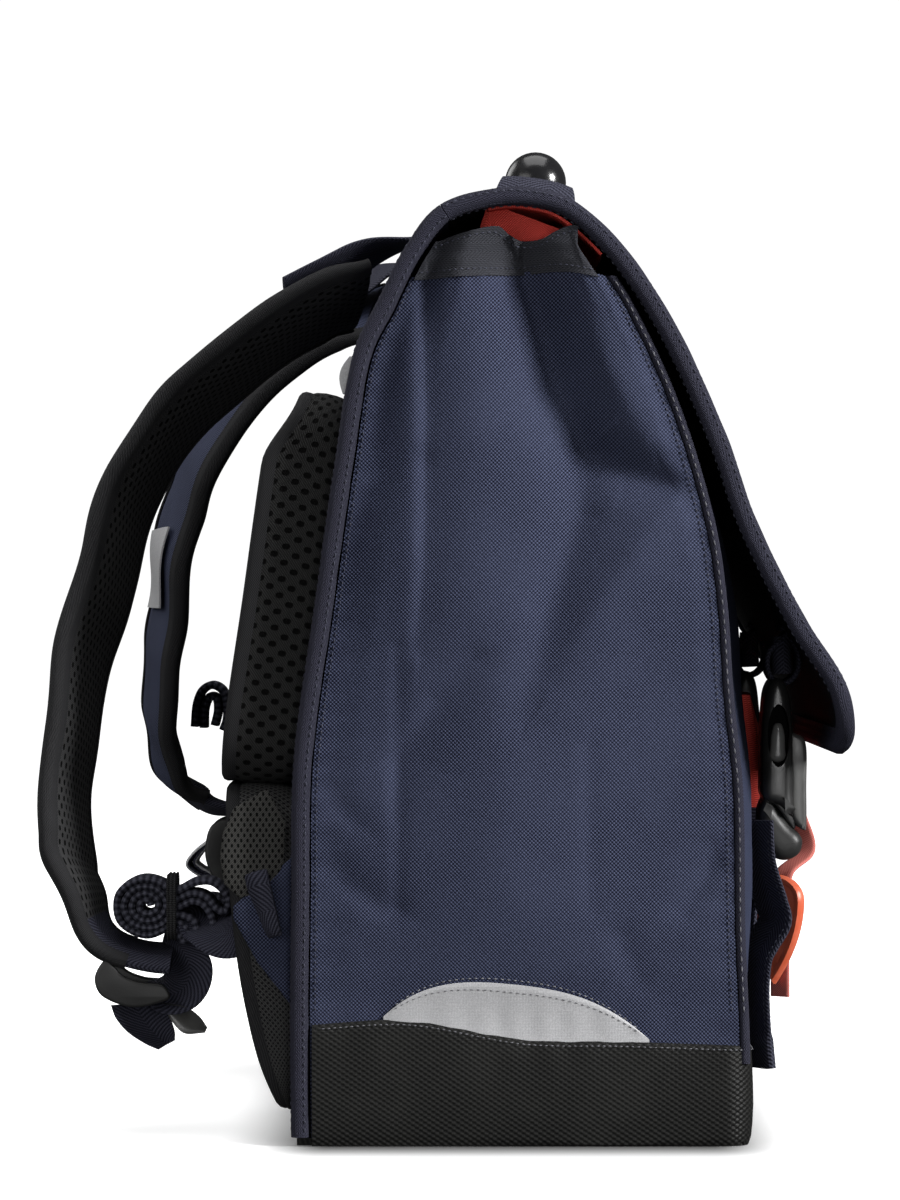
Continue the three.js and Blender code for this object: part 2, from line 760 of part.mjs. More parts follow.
// Middle points of a soft strip given by a table of stations behind the bag.
function stationsBehind(rows, side, reach) {
  return rows.map((r) => {
    const height = r.up * bagHeight;
    return new THREE.Vector3(side * r.out * halfWide, backFace(height, boardWall / 2) + r.off * reach, height);
  });
}

// Rings of a strip along a smooth line; the strip is wide across the bag, turned about its own length.
// section lists its corners as shares of the half width and half thickness.
function stripRings(points, steps, section, sizeAt) {
  const line = new THREE.CatmullRomCurve3(points, false, "centripetal");
  const rings = [];
  for (let i = 0; i <= steps; i++) {
    const share = i / steps;
    const middle = line.getPoint(share);
    const tangent = line.getTangent(share);
    const size = sizeAt(share);
    const flat = size.flat ? size.flat.clone() : new THREE.Vector3(1, 0, 0);
    flat.addScaledVector(tangent, -tangent.dot(flat)).normalize();
    flat.applyAxisAngle(tangent, THREE.MathUtils.degToRad(size.turn));
    const face = tangent.clone().cross(flat);
    rings.push(
      section.map(([a, b]) =>
        middle
          .clone()
          .addScaledVector(flat, (a * size.wide) / 2)
          .addScaledVector(face, (b * size.thick) / 2),
      ),
    );
  }
  return rings;
}

const flatSection = [[-1, -1], [1, -1], [1, 1], [-1, 1]];
const paddedSection = [[-1, 0], [-0.9, -0.85], [0, -1], [0.9, -0.85], [1, 0], [0.9, 0.85], [0, 1], [-0.9, 0.85]];

function shoulderStrap(rows, side, reach) {
  const last = rows.length - 1;
  const keyed = rows.map((r, i) => ({ ...r, place: i / last }));
  const sizeAt = (share) => ({
    wide: strapWide * columnAt(keyed, "place", "wide", share),
    thick: strapThick * columnAt(keyed, "place", "thick", share),
    turn: -side * columnAt(keyed, "place", "turn", share),
  });
  const rings = stripRings(stationsBehind(rows, side, reach), 24, paddedSection, sizeAt);
  for (const p of rings[0]) p.y = 0; // the root lies on the board
  for (const p of rings.slice(0, 4).flat()) p.y = Math.max(p.y, backFace(p.z, panelFace + 2 * seatGap));
  return loft(rings);
}

// The webbing that carries a strap runs from the lid seam down onto the strap's outer face.
function strapLoad(rows, side, reach) {
  const rise = strapThick / 2 + webbingThick / 2 + 3.4;
  const [, second, third] = stationsBehind(rows, side, reach);
  const root = shellPoint(side * rows[0].out * halfWide, shellLine.seam - webbingWide * 0.3, panelFace + webbingThick * 0.78);
  const sewn = third.clone().lerp(second, 0.55).add(new THREE.Vector3(0, rise * 0.6, rise * 0.95));
  const over = second.clone().add(new THREE.Vector3(0, rise * 0.1, rise * 1.15));
  const halfway = root.clone().lerp(over, 0.5).add(new THREE.Vector3(0, 0, webbingThick));
  const sizeAt = (share) => ({
    wide: webbingWide * 1.5,
    thick: webbingThick,
    turn: -side * rows[1].turn * ease(share, 0, 0.5),
  });
  const rings = stripRings([root, halfway, over, sewn], 8, flatSection, sizeAt);
  return loft(rings);
}

// A reflective patch on the outer face of a strap.
function strapPatch(rows, side, reach) {
  const last = rows.length - 1;
  const keyed = rows.map((r, i) => ({ ...r, place: i / last }));
  const from = 0.4;
  const to = 0.56;
  const line = new THREE.CatmullRomCurve3(stationsBehind(rows, side, reach), false, "centripetal");
  const point = (lift) => (u, v) => {
    const share = mix(from, to, v) + (u - 0.5) * 0.06;
    const middle = line.getPoint(share);
    const tangent = line.getTangent(share);
    const flat = new THREE.Vector3(1, 0, 0).addScaledVector(tangent, -tangent.x).normalize();
    flat.applyAxisAngle(tangent, THREE.MathUtils.degToRad(-side * columnAt(keyed, "place", "turn", share)));
    const face = flat.clone().cross(tangent);
    const halfWideHere = (strapWide * columnAt(keyed, "place", "wide", share)) / 2;
    const halfThick = (strapThick * columnAt(keyed, "place", "thick", share)) / 2;
    const away = face.y > 0 ? 1 : -1;
    return middle
      .addScaledVector(flat, mix(-0.84, 0.84, u) * halfWideHere)
      .addScaledVector(face, away * (halfThick + lift));
  };
  return wall(3, 4, point(2 * seatGap + patchWall), point(2 * seatGap));
}

function strapWebbing(rows, side, reach) {
  const last = rows.length - 1;
  const keyed = rows.map((r, i) => ({ ...r, place: i / last }));
  const sizeAt = (share) => {
    const lean = THREE.MathUtils.degToRad(columnAt(keyed, "place", "lean", share));
    const flat = new THREE.Vector3(Math.cos(lean), 0, -side * Math.sin(lean));
    return { wide: webbingWide, thick: webbingThick, turn: 0, flat };
  };
  return loft(stripRings(stationsBehind(rows, side, reach), 20, flatSection, sizeAt));
}

// The spare webbing, rolled up beside the adjuster.
function rollOf(side, place) {
  const points = [];
  const steps = 12 * rollTurns;
  const inner = 2.4;
  const pitch = (rollRadius - webbingThick / 2 - inner) / rollTurns;
  for (let i = 0; i <= steps; i++) {
    const angle = (i / steps) * rollTurns * 2 * Math.PI;
    const radius = inner + (pitch * angle) / (2 * Math.PI);
    points.push([place.y - radius * Math.cos(angle), place.z + radius * Math.sin(angle) * 0.98]);
  }
  const half = webbingThick / 2;
  const edge = (sign) =>
    points.map(([y, z]) => {
      const far = Math.hypot(y - place.y, z - place.z);
      return [y + (sign * half * (y - place.y)) / far, z + (sign * half * (z - place.z)) / far];
    });
  const outline = [...edge(1), ...edge(-1).reverse()];
  return across(outline, place.x - webbingWide / 2, place.x + webbingWide / 2);
}

// The elastic band that holds the roll.
function rollBand(place) {
  const tall = rollRadius + 0.7;
  const wideHalf = webbingWide / 2 + 0.8;
  const ring = (grow) => [
    [-wideHalf - grow, -tall - grow],
    [wideHalf + grow, -tall - grow],
    [wideHalf + grow, tall + grow],
    [-wideHalf - grow, tall + grow],
  ];
  const rings = [0, 1, 2, 3].map((i) =>
    [[0, -1], [bandThick, -1], [bandThick, 1], [0, 1]].map(([grow, end]) => {
      const [x, z] = ring(grow)[i];
      return new THREE.Vector3(place.x + x, place.y + (end * bandWide) / 2, place.z + z);
    }),
  );
  return loft(rings, true);
}

// Outline of the adjuster's cheek, in shares of its length and height.
const cheekRows = [
  [0, 0.62],
  [0.06, 0.25],
  [0.3, 0.02],
  [0.55, -0.06],
  [0.85, 0.04],
  [1, 0.16],
  [0.92, 0.42],
  [0.6, 0.5],
  [0.36, 0.66],
  [0.16, 1],
];

function adjuster(place, tip) {
  const long = adjusterLong;
  const tall = adjusterTall;
  const outline = cheekRows.map(([a, b]) => [place.y + long / 2 - a * long, place.z - tall * 0.5 + b * tall]);
  const outside = adjusterWide / 2;
  const cheeks = [
    across(outline, place.x - outside, place.x - outside + adjusterCheek),
    across(outline, place.x + outside - adjusterCheek, place.x + outside),
  ];
  const bars = [[0.17, 0.5], [0.47, 0.2], [0.84, 0.22]].map(([a, b]) => {
    const y = place.y + long / 2 - a * long;
    const z = place.z - tall * 0.5 + b * tall;
    const bar = new THREE.CylinderGeometry(adjusterBar, adjusterBar, adjusterWide - adjusterCheek, 8);
    return bar.rotateZ(Math.PI / 2).translate(place.x, y, z);
  });
  return tipped(join(...cheeks, ...bars), place, tip);
}

// Turns a geometry about the line across the bag through a place, in degrees.
function tipped(geometry, place, tip) {
  geometry.translate(-place.x, -place.y, -place.z);
  geometry.rotateX(THREE.MathUtils.degToRad(tip));
  return geometry.translate(place.x, place.y, place.z);
}

// The folded pull tab under an adjuster.
function pullTab(place, tip, long, drop) {
  const loop = [
    [16, 6.5],
    [11, 1],
    [4, -4.5],
    [-4, -7.5],
    [-12, -5.5],
    [-19, -1.5],
    [-18.4, 0.8],
    [-11, -2.6],
    [-4, -4.4],
    [4, -1.6],
    [12, 3.6],
    [17.4, 8.6],
  ];
  const outline = loop.map(([y, z]) => [place.y + y * long, place.z - drop + z]);
  return tipped(across(outline, place.x - webbingWide / 2, place.x + webbingWide / 2), place, tip);
}

// The anchor of the lower webbing: a cloth triangle against the outer side of the lower pad.
function anchor(side) {
  const outside = halfWide - bindingWide;
  const rows = [
    { off: 0.5, up: 0.3 },
    { off: 13, up: 0.27 },
    { off: 22, up: 0.249 },
    { off: 22, up: 0.236 },
    { off: 13, up: 0.19 },
    { off: 0.5, up: 0.145 },
  ];
  const outline = rows.map((r) => {
    const height = r.up * bagHeight;
    return [backFace(height, panelFace) + r.off, height];
  });
  const [from, to] = side > 0 ? [outside - 6 + 0.5, outside - 6 + 0.5 + anchorWall] : [-outside + 6 - 0.5 - anchorWall, -outside + 6 - 0.5];
  return across(outline, from, to);
}

// The mesh wing over the side of the lower pad, above the anchor.
function wing(side) {
  const outside = halfWide - bindingWide - 6 + 0.5;
  const rows = [
    { off: 12, up: 0.362 },
    { off: 23, up: 0.34 },
    { off: 26.5, up: 0.315 },
    { off: 25, up: 0.3 },
    { off: 21, up: 0.287 },
    { off: 13, up: 0.29 },
    { off: 5, up: 0.303 },
    { off: 4, up: 0.335 },
  ];
  const outline = rows.map((r) => {
    const height = r.up * bagHeight;
    return [backFace(height, panelFace) + r.off, height];
  });
  const [from, to] = side > 0 ? [outside, outside + anchorWall] : [-outside - anchorWall, -outside];
  return across(outline, from, to);
}

function grip(along) {
  const centre = shellPoint(0, along, lidWall / 2 + gripRadius + handleLift);
  const half = gripLength / 2;
  const dome = gripRadius * 0.8;
  const profile = [];
  for (let i = 0; i <= 4; i++) {
    const angle = (i / 4) * (Math.PI / 2);
    profile.push(new THREE.Vector2(gripRadius * Math.sin(angle), -half + dome * (1 - Math.cos(angle))));
  }
  const upper = profile.map((p) => new THREE.Vector2(p.x, -p.y)).reverse();
  const waist = new THREE.Vector2(gripRadius * 0.94, 0);
  const body = new THREE.LatheGeometry([...profile, waist, ...upper], 14);
  return body.rotateZ(Math.PI / 2).translate(centre.x, centre.y, centre.z);
}

// The handle's webbing, sewn to the lid and rising to an end of the grip.
function handleTab(side, along) {
  const from = handleReach;
  const to = gripLength / 2 + seatGap;
  const top = lidWall / 2 + gripRadius + handleLift;
  const low = lidWall / 2 + seatGap;
  const point = (lift) => (u, v) => {
    const rise = ease(u, 0.3, 1) * (top - low - webbingThick / 2);
    const narrowing = mix(1, 0.72, ease(u, 0.45, 1));
    return shellPoint(side * mix(from, to, u), along + (v - 0.5) * handleWide * narrowing, low + rise + lift);
  };
  return wall(6, 4, point(webbingThick), point(0));
}

// Side outline of the buckle, as shares of its depth from the back and of its height.
const housingRows = [
  [0.1, 0.32],
  [0.08, 0.62],
  [0.12, 0.82],
  [0.2, 0.98],
  [0.32, 1],
  [0.52, 1],
  [0.6, 0.96],
  [0.7, 0.8],
  [0.78, 0.6],
  [1, 0.56],
  [1, 0.17],
  [0.7, 0.24],
  [0.3, 0.33],
];
// The spring lever inside the housing's window.
const leverRows = [
  [0.28, 0.5],
  [0.55, 0.5],
  [0.57, 0.6],
  [0.55, 0.72],
  [0.42, 0.79],
  [0.29, 0.72],
  [0.27, 0.6],
];
const catchRows = [
  [0.02, 0.22],
  [0.06, 0.31],
  [0.22, 0.32],
  [0.66, 0.205],
  [0.93, 0.13],
  [0.93, 0.09],
  [0.82, 0.03],
  [0.6, 0],
  [0.35, 0.02],
  [0.12, 0.09],
];

function buckleOutline(rows) {
  return rows.map(([a, b]) => [-(buckleStand + a * buckleDeep), buckleFoot + b * buckleTall]);
}

function buckleHousing(side) {
  const window = [];
  for (let i = 0; i < 14; i++) {
    const angle = (i / 14) * 2 * Math.PI;
    window.push([0.42 + 0.22 * Math.cos(angle), 0.68 + 0.155 * Math.sin(angle)]);
  }
  const middle = side * buckleAcross;
  const half = buckleWide / 2;
  const body = across(buckleOutline(housingRows), middle - half, middle + half, 1.2);
  const opening = across(buckleOutline(window), middle - half - 1, middle + half + 1);
  const lever = across(buckleOutline(leverRows), middle - half + 5, middle + half - 5);
  return join(cut(body, opening), lever);
}

function buckleCatch(side) {
  const middle = side * buckleAcross;
  return across(buckleOutline(catchRows), middle - buckleWide / 2 + 0.6, middle + buckleWide / 2 - 0.6, 1.6);
}

// Webbing that hangs the buckle from the underside of the lid.
function buckleHanger(side) {
  const x = side * buckleAcross;
  const topZ = buckleFoot + buckleTall;
  const along = alongAtDepth(-(buckleStand + buckleDeep * 0.62));
  const root = shellPoint(x, along, -(lidWall / 2 + seatGap + webbingThick / 2 + 0.1));
  const low = new THREE.Vector3(x, -(buckleStand + buckleDeep * 0.42), topZ + seatGap + 0.1);
  const points = [root, root.clone().lerp(low, 0.5).add(new THREE.Vector3(0, 1, 0)), low];
  const sizeAt = () => ({ wide: webbingWide, thick: webbingThick, turn: 0 });
  return loft(stripRings(points, 5, flatSection, sizeAt));
}

// Webbing from the catch down the front to the base seam.
function buckleStrap(side) {
  const x = side * buckleAcross;
  const proud = 2 * seatGap + webbingThick / 2;
  const points = [
    new THREE.Vector3(x, webbingThick - buckleStand, buckleFoot + buckleTall * 0.1),
    ...[0.27, 0.22, 0.16, 0.14].map((up) => frontPoint(buckleAcross - webbingWide / 2, up * bagHeight, proud).setX(x)),
  ];
  const sizeAt = () => ({ wide: webbingWide, thick: webbingThick, turn: 0 });
  return loft(stripRings(points, 9, flatSection, sizeAt));
}

function buckleTail(side) {
  const x = side * (buckleAcross + buckleWide / 2 + 8);
  const points = tailRows.map((r) => new THREE.Vector3(x, -r.front * halfDeep, r.up * bagHeight));
  const sizeAt = (share) => ({
    wide: webbingWide * 0.96,
    thick: webbingThick * mix(1, 1.9, ease(share, 0.86, 0.9)),
    turn: side * tailTwist,
  });
  return loft(stripRings(points, 22, flatSection, sizeAt));
}

// Where the zip slider stands on the pocket.
function sliderPlace() {
  return frontPoint(-pocketHalfWide + 8, pocketZipUp, pocketDeep);
}

function zipSlider() {
  const p = sliderPlace();
  const outline = [
    [p.y - 0.2, p.z - 4],
    [p.y - 3.4, p.z - 3],
    [p.y - 3.4, p.z + 3],
    [p.y - 0.2, p.z + 4],
  ];
  return across(outline, p.x - 6, p.x + 6);
}

// Ribbon from the slider, with the moulded puller hanging on it.
function pullRibbon() {
  const p = sliderPlace();
  const leaf = pullerPlace();
  const turn = THREE.MathUtils.degToRad(pullerTurn);
  const onLeaf = (drop, rise = 0) => {
    const off = pullerThick / 2 + 1.3 + rise;
    return new THREE.Vector3(leaf.x + off * Math.sin(turn), leaf.y - off * Math.cos(turn), leaf.z - drop);
  };
  const points = [
    new THREE.Vector3(p.x, p.y - 7.8, p.z + 1),
    new THREE.Vector3(mix(p.x, leaf.x, 0.4), p.y - 11, p.z - 13),
    onLeaf(3, 2.4),
    onLeaf(13, 0.3),
    onLeaf(pullerTall * 0.5),
    onLeaf(pullerTall * 1.2),
  ];
  const flat = new THREE.Vector3(Math.cos(turn), Math.sin(turn), 0);
  const sizeAt = () => ({ wide: 9, thick: 1.4, turn: 0, flat });
  return loft(stripRings(points, 10, flatSection, sizeAt));
}

// The top of the puller, hanging beside the pocket.
function pullerPlace() {
  return sliderPlace().add(new THREE.Vector3(-22, -2, -18));
}

// A plain leaf-shaped puller of soft plastic.
function puller() {
  const p = pullerPlace();
  const half = pullerWide / 2;
  const leaf = new THREE.Shape();
  leaf.moveTo(0, -pullerTall);
  leaf.bezierCurveTo(-half * 0.7, -pullerTall * 0.75, -half, -pullerTall * 0.5, -half, -pullerTall * 0.28);
  leaf.bezierCurveTo(-half, 0, half, 0, half, -pullerTall * 0.28);
  leaf.bezierCurveTo(half, -pullerTall * 0.5, half * 0.7, -pullerTall * 0.75, 0, -pullerTall);
  const geometry = new THREE.ExtrudeGeometry(leaf, {
    depth: pullerThick - 2,
    bevelThickness: 1,
    bevelSize: 1,
    bevelOffset: -1,
    bevelSegments: 1,
    curveSegments: 6,
  });
  geometry.translate(0, 0, -pullerThick / 2 + 1);
  geometry.rotateX(Math.PI / 2);
  geometry.rotateZ(THREE.MathUtils.degToRad(pullerTurn));
  return geometry.translate(p.x, p.y, p.z);
}

const satchel = new THREE.Group();

function add(name, geometry, material) {
  const piece = new THREE.Mesh(geometry, material);
  piece.name = name;
  satchel.add(piece);
}

add("back_panel", backPanel(), navy);
add("lid", lid(), navy);
add("lid_binding", lidBinding(), navyTape);
add("lid_facing", lidFacing(), coral);
add("front_panel", frontPanel(), navy);
add("base", base(), coated);
add("pocket_lower", pocketPart(pocketFoot, pocketZipUp - zipTall / 2, 0.35, 1, 6), navy);
add("pocket_zip", pocketPart(pocketZipUp - zipTall / 2 + seatGap, pocketZipUp + zipTall / 2, 0.9, 0.9, 1), blackMesh);
add("pocket_upper", pocketPart(pocketZipUp + zipTall / 2 + seatGap, pocketTop, 1, 0.45, 4), coral);
add("zip_slider", zipSlider(), plastic);
add("pull_ribbon", pullRibbon(), coral);
add("puller", puller(), orange);

const gripAlong = alongAtDepth(handleSeat);
add("grip", grip(gripAlong), plastic);

const sides = [
  {
    side: -1,
    word: "left",
    straps: leftStrapRows,
    web: leftWebRows,
    reach: strapReachLeft,
    adjusterOff: 0.69,
    adjusterBelow: 9.975,
    tip: 0,
    tabLong: 1,
    tabDrop: 9,
    rollOff: 0.634,
    rollAbove: 28.15,
  },
  {
    side: 1,
    word: "right",
    straps: rightStrapRows,
    web: rightWebRows,
    reach: strapReachRight,
    adjusterOff: 0.53,
    adjusterBelow: 16.975,
    tip: 78,
    tabLong: 0.42,
    tabDrop: 10,
    rollOff: 0.618,
    rollAbove: -28.875,
  },
];
for (const s of sides) {
  add(`side_panel_${s.word}`, sidePanel(s.side), navy);
  add(`top_band_${s.word}`, topBand(s.side), navyTape);
  add(`back_binding_${s.word}`, backBinding(s.side), navyTape);
  add(`front_tape_${s.word}`, frontTape(s.side), navyTape);
  add(`moon_${s.word}`, moon(s.side), silver);
  add(`upper_pad_${s.word}`, pad(s.side, padSplit + 1, padTop, (v) => 1 - 0.4 * ease(v, 0.8, 1)), blackMesh);
  const lumbar = (v) => columnAt(lumbarRows, "up", "thick", v);
  add(`lower_pad_${s.word}`, pad(s.side, padFoot, padSplit - 1, lumbar), blackMesh);
  add(`anchor_${s.word}`, anchor(s.side), navy);
  add(`wing_${s.word}`, wing(s.side), blackMesh);
  add(`strap_${s.word}`, shoulderStrap(s.straps, s.side, s.reach), blackMesh);
  add(`strap_load_${s.word}`, strapLoad(s.straps, s.side, s.reach), navy);
  add(`strap_patch_${s.word}`, strapPatch(s.straps, s.side, s.reach), silver);
  add(`strap_webbing_${s.word}`, strapWebbing(s.web, s.side, s.reach), navyTape);
  const stationAt = (off, up) => {
    const height = up * bagHeight;
    const x = s.side * s.web[0].out * halfWide;
    return new THREE.Vector3(x, backFace(height, boardWall / 2) + off * s.reach, height);
  };
  const strapFoot = s.straps[s.straps.length - 1].up;
  const adjusterUp = strapFoot - s.adjusterBelow / bagHeight;
  const adjusterPlace = stationAt(s.adjusterOff, adjusterUp);
  add(`adjuster_${s.word}`, adjuster(adjusterPlace, s.tip), plastic);
  add(`pull_tab_${s.word}`, pullTab(adjusterPlace, s.tip, s.tabLong, s.tabDrop), navyTape);
  const rollPlace = stationAt(s.rollOff, adjusterUp + s.rollAbove / bagHeight);
  add(`webbing_roll_${s.word}`, rollOf(s.side, rollPlace), navyTape);
  add(`roll_band_${s.word}`, rollBand(rollPlace), plastic);
  add(`handle_tab_${s.word}`, handleTab(s.side, gripAlong), navyTape);
  add(`buckle_housing_${s.word}`, buckleHousing(s.side), plastic);
  add(`buckle_catch_${s.word}`, buckleCatch(s.side), plastic);
  add(`buckle_hanger_${s.word}`, buckleHanger(s.side), navyTape);
  add(`buckle_strap_${s.word}`, buckleStrap(s.side), navyTape);
  add(`buckle_tail_${s.word}`, buckleTail(s.side), navyTape);
}

export default satchel;
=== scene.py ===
import bpy
import bmesh
import math
import numpy as np
from mathutils import Matrix


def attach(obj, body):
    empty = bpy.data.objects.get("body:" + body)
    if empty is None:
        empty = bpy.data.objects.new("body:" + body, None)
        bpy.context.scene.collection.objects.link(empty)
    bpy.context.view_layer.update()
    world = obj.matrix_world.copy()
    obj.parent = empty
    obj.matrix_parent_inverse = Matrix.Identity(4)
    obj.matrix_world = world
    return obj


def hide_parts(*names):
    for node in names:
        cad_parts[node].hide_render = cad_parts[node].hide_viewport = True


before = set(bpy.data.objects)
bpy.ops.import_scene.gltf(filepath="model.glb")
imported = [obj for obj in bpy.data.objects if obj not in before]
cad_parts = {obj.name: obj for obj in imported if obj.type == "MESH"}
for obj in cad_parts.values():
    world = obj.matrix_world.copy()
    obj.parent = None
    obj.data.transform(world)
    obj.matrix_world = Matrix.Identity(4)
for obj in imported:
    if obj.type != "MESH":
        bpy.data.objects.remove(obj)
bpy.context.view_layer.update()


def linkNew(name, data):
    made = bpy.data.objects.new(name, data)
    bpy.context.scene.collection.objects.link(made)
    return made


# The bag, in metres: front is -Y, the worn side +Y, the photographed side -X
bag = {"wide": 0.38, "deep": 0.168, "tall": 0.35, "board": 0.005, "lid": 0.004, "cloth": 0.002,
       "tapeWide": 0.010, "tapeThick": 0.0066, "sideInset": 0.004, "swell": 0.0085, "backTuck": 0.0085,
       "baseRise": 0.041, "baseWall": 0.003, "seat": 0.0003, "lidCorner": 0.026}
halfWide = bag["wide"] / 2
halfDeep = bag["deep"] / 2
tall = bag["tall"]
seat = bag["seat"]
sides = {"left": -1, "right": 1}

# Camera and light of the photograph
view = {"place": (-2.190, 0.0252, 0.1994), "lens": 164.57, "sensor": 36.0}
cameraData = bpy.data.cameras.new("photoCamera")
cameraData.sensor_fit = "VERTICAL"
cameraData.sensor_height = view["sensor"]
cameraData.lens = view["lens"]
cameraData.clip_start = 0.05
camera = linkNew("photoCamera", cameraData)
camera.location = view["place"]
camera.rotation_euler = (math.radians(90), 0, math.radians(-90))
bpy.context.scene.camera = camera
bpy.context.scene.view_settings.view_transform = "Standard"

studio = {"sky": 0.09, "key": 90.0, "fill": 13.0, "rim": 18.0, "top": 30.0, "glint": 5.0, "wall": 1.05,
          "floorGlow": 0.6}


def areaLight(name, place, power, size, aim=(0, 0, 0.18)):
    data = bpy.data.lights.new(name, "AREA")
    data.energy = power
    data.size = size
    lamp = linkNew(name, data)
    lamp.location = place
    away = np.array(place) - np.array(aim)
    lamp.rotation_euler = (math.atan2(math.hypot(away[0], away[1]), away[2]), 0,
                           math.atan2(away[1], away[0]) + math.pi / 2)


areaLight("keyLight", (-1.25, -1.9, 1.0), studio["key"], 0.6)
areaLight("fillLight", (-1.8, 1.3, 0.7), studio["fill"], 1.4)
areaLight("rimLight", (0.9, 1.7, 1.3), studio["rim"], 1.2)
areaLight("glintLight", (-2.19, -0.24, 0.16), studio["glint"], 0.3, (-0.11, -0.1, 0.14))
areaLight("topLight", (-0.2, 0.0, 2.2), studio["top"], 1.8)
world = bpy.data.worlds.new("studioSky")
world.use_nodes = True
world.node_tree.nodes["Background"].inputs["Color"].default_value = (1, 1, 1, 1)
world.node_tree.nodes["Background"].inputs["Strength"].default_value = studio["sky"]
bpy.context.scene.world = world
print("camera and light set")


# Material helpers: every pattern reads the piece's own UV map, which is in metres
def addNode(mat, kind, inputs=None, **settings):
    made = mat.node_tree.nodes.new(kind)
    for key, value in settings.items():
        setattr(made, key, value)
    for key, value in (inputs or {}).items():
        if isinstance(value, bpy.types.NodeSocket):
            mat.node_tree.links.new(value, made.inputs[key])
        else:
            made.inputs[key].default_value = value
    return made


def calc(mat, operation, a, b=0.0, c=0.0):
    return addNode(mat, "ShaderNodeMath", {0: a, 1: b, 2: c}, operation=operation).outputs[0]


def blendColour(mat, share, dark, light):
    made = addNode(mat, "ShaderNodeMix", {0: share}, data_type="RGBA")
    for key, value in ((6, dark), (7, light)):
        if isinstance(value, bpy.types.NodeSocket):
            mat.node_tree.links.new(value, made.inputs[key])
        else:
            made.inputs[key].default_value = (*value, 1)
    return made.outputs[2]


def startMaterial(name, roughness, specular=0.3, sheen=0.0):
    mat = bpy.data.materials.new(name)
    mat.use_nodes = True
    shader = mat.node_tree.nodes["Principled BSDF"]
    shader.inputs["Roughness"].default_value = roughness
    shader.inputs["Specular IOR Level"].default_value = specular
    shader.inputs["Sheen Weight"].default_value = sheen
    shader.inputs["Sheen Roughness"].default_value = 0.4
    return mat, shader


def uvPair(mat):
    split = addNode(mat, "ShaderNodeSeparateXYZ", {0: addNode(mat, "ShaderNodeTexCoord").outputs["UV"]})
    return split.outputs[0], split.outputs[1]


def objectPlace(mat):
    return addNode(mat, "ShaderNodeTexCoord").outputs["Object"]


def noiseAt(mat, place, scale, detail=2.0):
    return addNode(mat, "ShaderNodeTexNoise", {"Vector": place, "Scale": scale, "Detail": detail}).outputs["Fac"]


def waves(mat, along, pitch):
    return calc(mat, "SINE", calc(mat, "MULTIPLY", along, 2 * math.pi / pitch))


def finishMaterial(mat, shader, tone, height, depth, strength):
    bump = addNode(mat, "ShaderNodeBump", {"Height": height, "Distance": depth, "Strength": strength})
    mat.node_tree.links.new(tone, shader.inputs["Base Color"])
    mat.node_tree.links.new(bump.outputs[0], shader.inputs["Normal"])
    return mat


def between(mat, value, low, high):
    return addNode(mat, "ShaderNodeMapRange", {0: value, 1: low, 2: high}, interpolation_type="SMOOTHSTEP").outputs[0]


# Plain weave: the floats of warp and weft stand as dots in a chequer
def wovenCloth(name, dark, light, pitch, roughness, depth=0.00022, sheen=0.0, specular=0.07, mottling=0.25):
    mat, shader = startMaterial(name, roughness, specular, sheen)
    u, v = uvPair(mat)
    dots = calc(mat, "MULTIPLY", waves(mat, u, pitch), waves(mat, v, pitch))
    share = between(mat, dots, -0.55, 0.9)
    tone = blendColour(mat, share, dark, light)
    blotch = noiseAt(mat, objectPlace(mat), 28.0, 3.0)
    worn = blendColour(mat, calc(mat, "MULTIPLY", between(mat, blotch, 0.35, 0.7), mottling), tone,
                       tuple(0.35 * a + 0.65 * b for a, b in zip(dark, light)))
    return finishMaterial(mat, shader, worn, dots, depth, 0.5)


# Ribbed tape and webbing: ribs across the run, turned into a zigzag by folding the width
def ribbedTape(name, dark, light, pitch, fold, slant, roughness=0.8, depth=0.0003):
    mat, shader = startMaterial(name, roughness, 0.08)
    u, v = uvPair(mat)
    zigzag = calc(mat, "ABSOLUTE", calc(mat, "SUBTRACT", calc(mat, "FRACT", calc(mat, "DIVIDE", u, fold)), 0.5))
    slanted = calc(mat, "ADD", v, calc(mat, "MULTIPLY", zigzag, slant * fold * 2))
    ribs = waves(mat, slanted, pitch)
    threads = waves(mat, u, pitch * 0.55)
    both = calc(mat, "ADD", calc(mat, "MULTIPLY", ribs, 0.75), calc(mat, "MULTIPLY", threads, 0.25))
    tone = blendColour(mat, between(mat, both, -0.9, 0.9), dark, light)
    fuzz = noiseAt(mat, objectPlace(mat), 60.0, 3.0)
    worn = blendColour(mat, calc(mat, "MULTIPLY", fuzz, 0.3), tone, light)
    return finishMaterial(mat, shader, worn, both, depth, 0.6)


# Spacer mesh: round holes in staggered rows
def openMesh(name, yarn, hole, acrossPitch, alongPitch, depth=0.0006, roughness=0.85, size=0.25):
    mat, shader = startMaterial(name, roughness, 0.08)
    u, v = uvPair(mat)
    dots = calc(mat, "MULTIPLY", waves(mat, u, acrossPitch), waves(mat, v, alongPitch))
    share = between(mat, dots, size, size + 0.3)
    twist = waves(mat, calc(mat, "ADD", u, v), 0.0009)
    tone = blendColour(mat, between(mat, twist, -1.4, 1.2), tuple(0.55 * c for c in yarn),
                       tuple(1.35 * c for c in yarn))
    tone = blendColour(mat, share, tone, hole)
    height = calc(mat, "ADD", calc(mat, "SUBTRACT", 1.0, share), calc(mat, "MULTIPLY", twist, 0.12))
    return finishMaterial(mat, shader, tone, height, depth, 0.9)


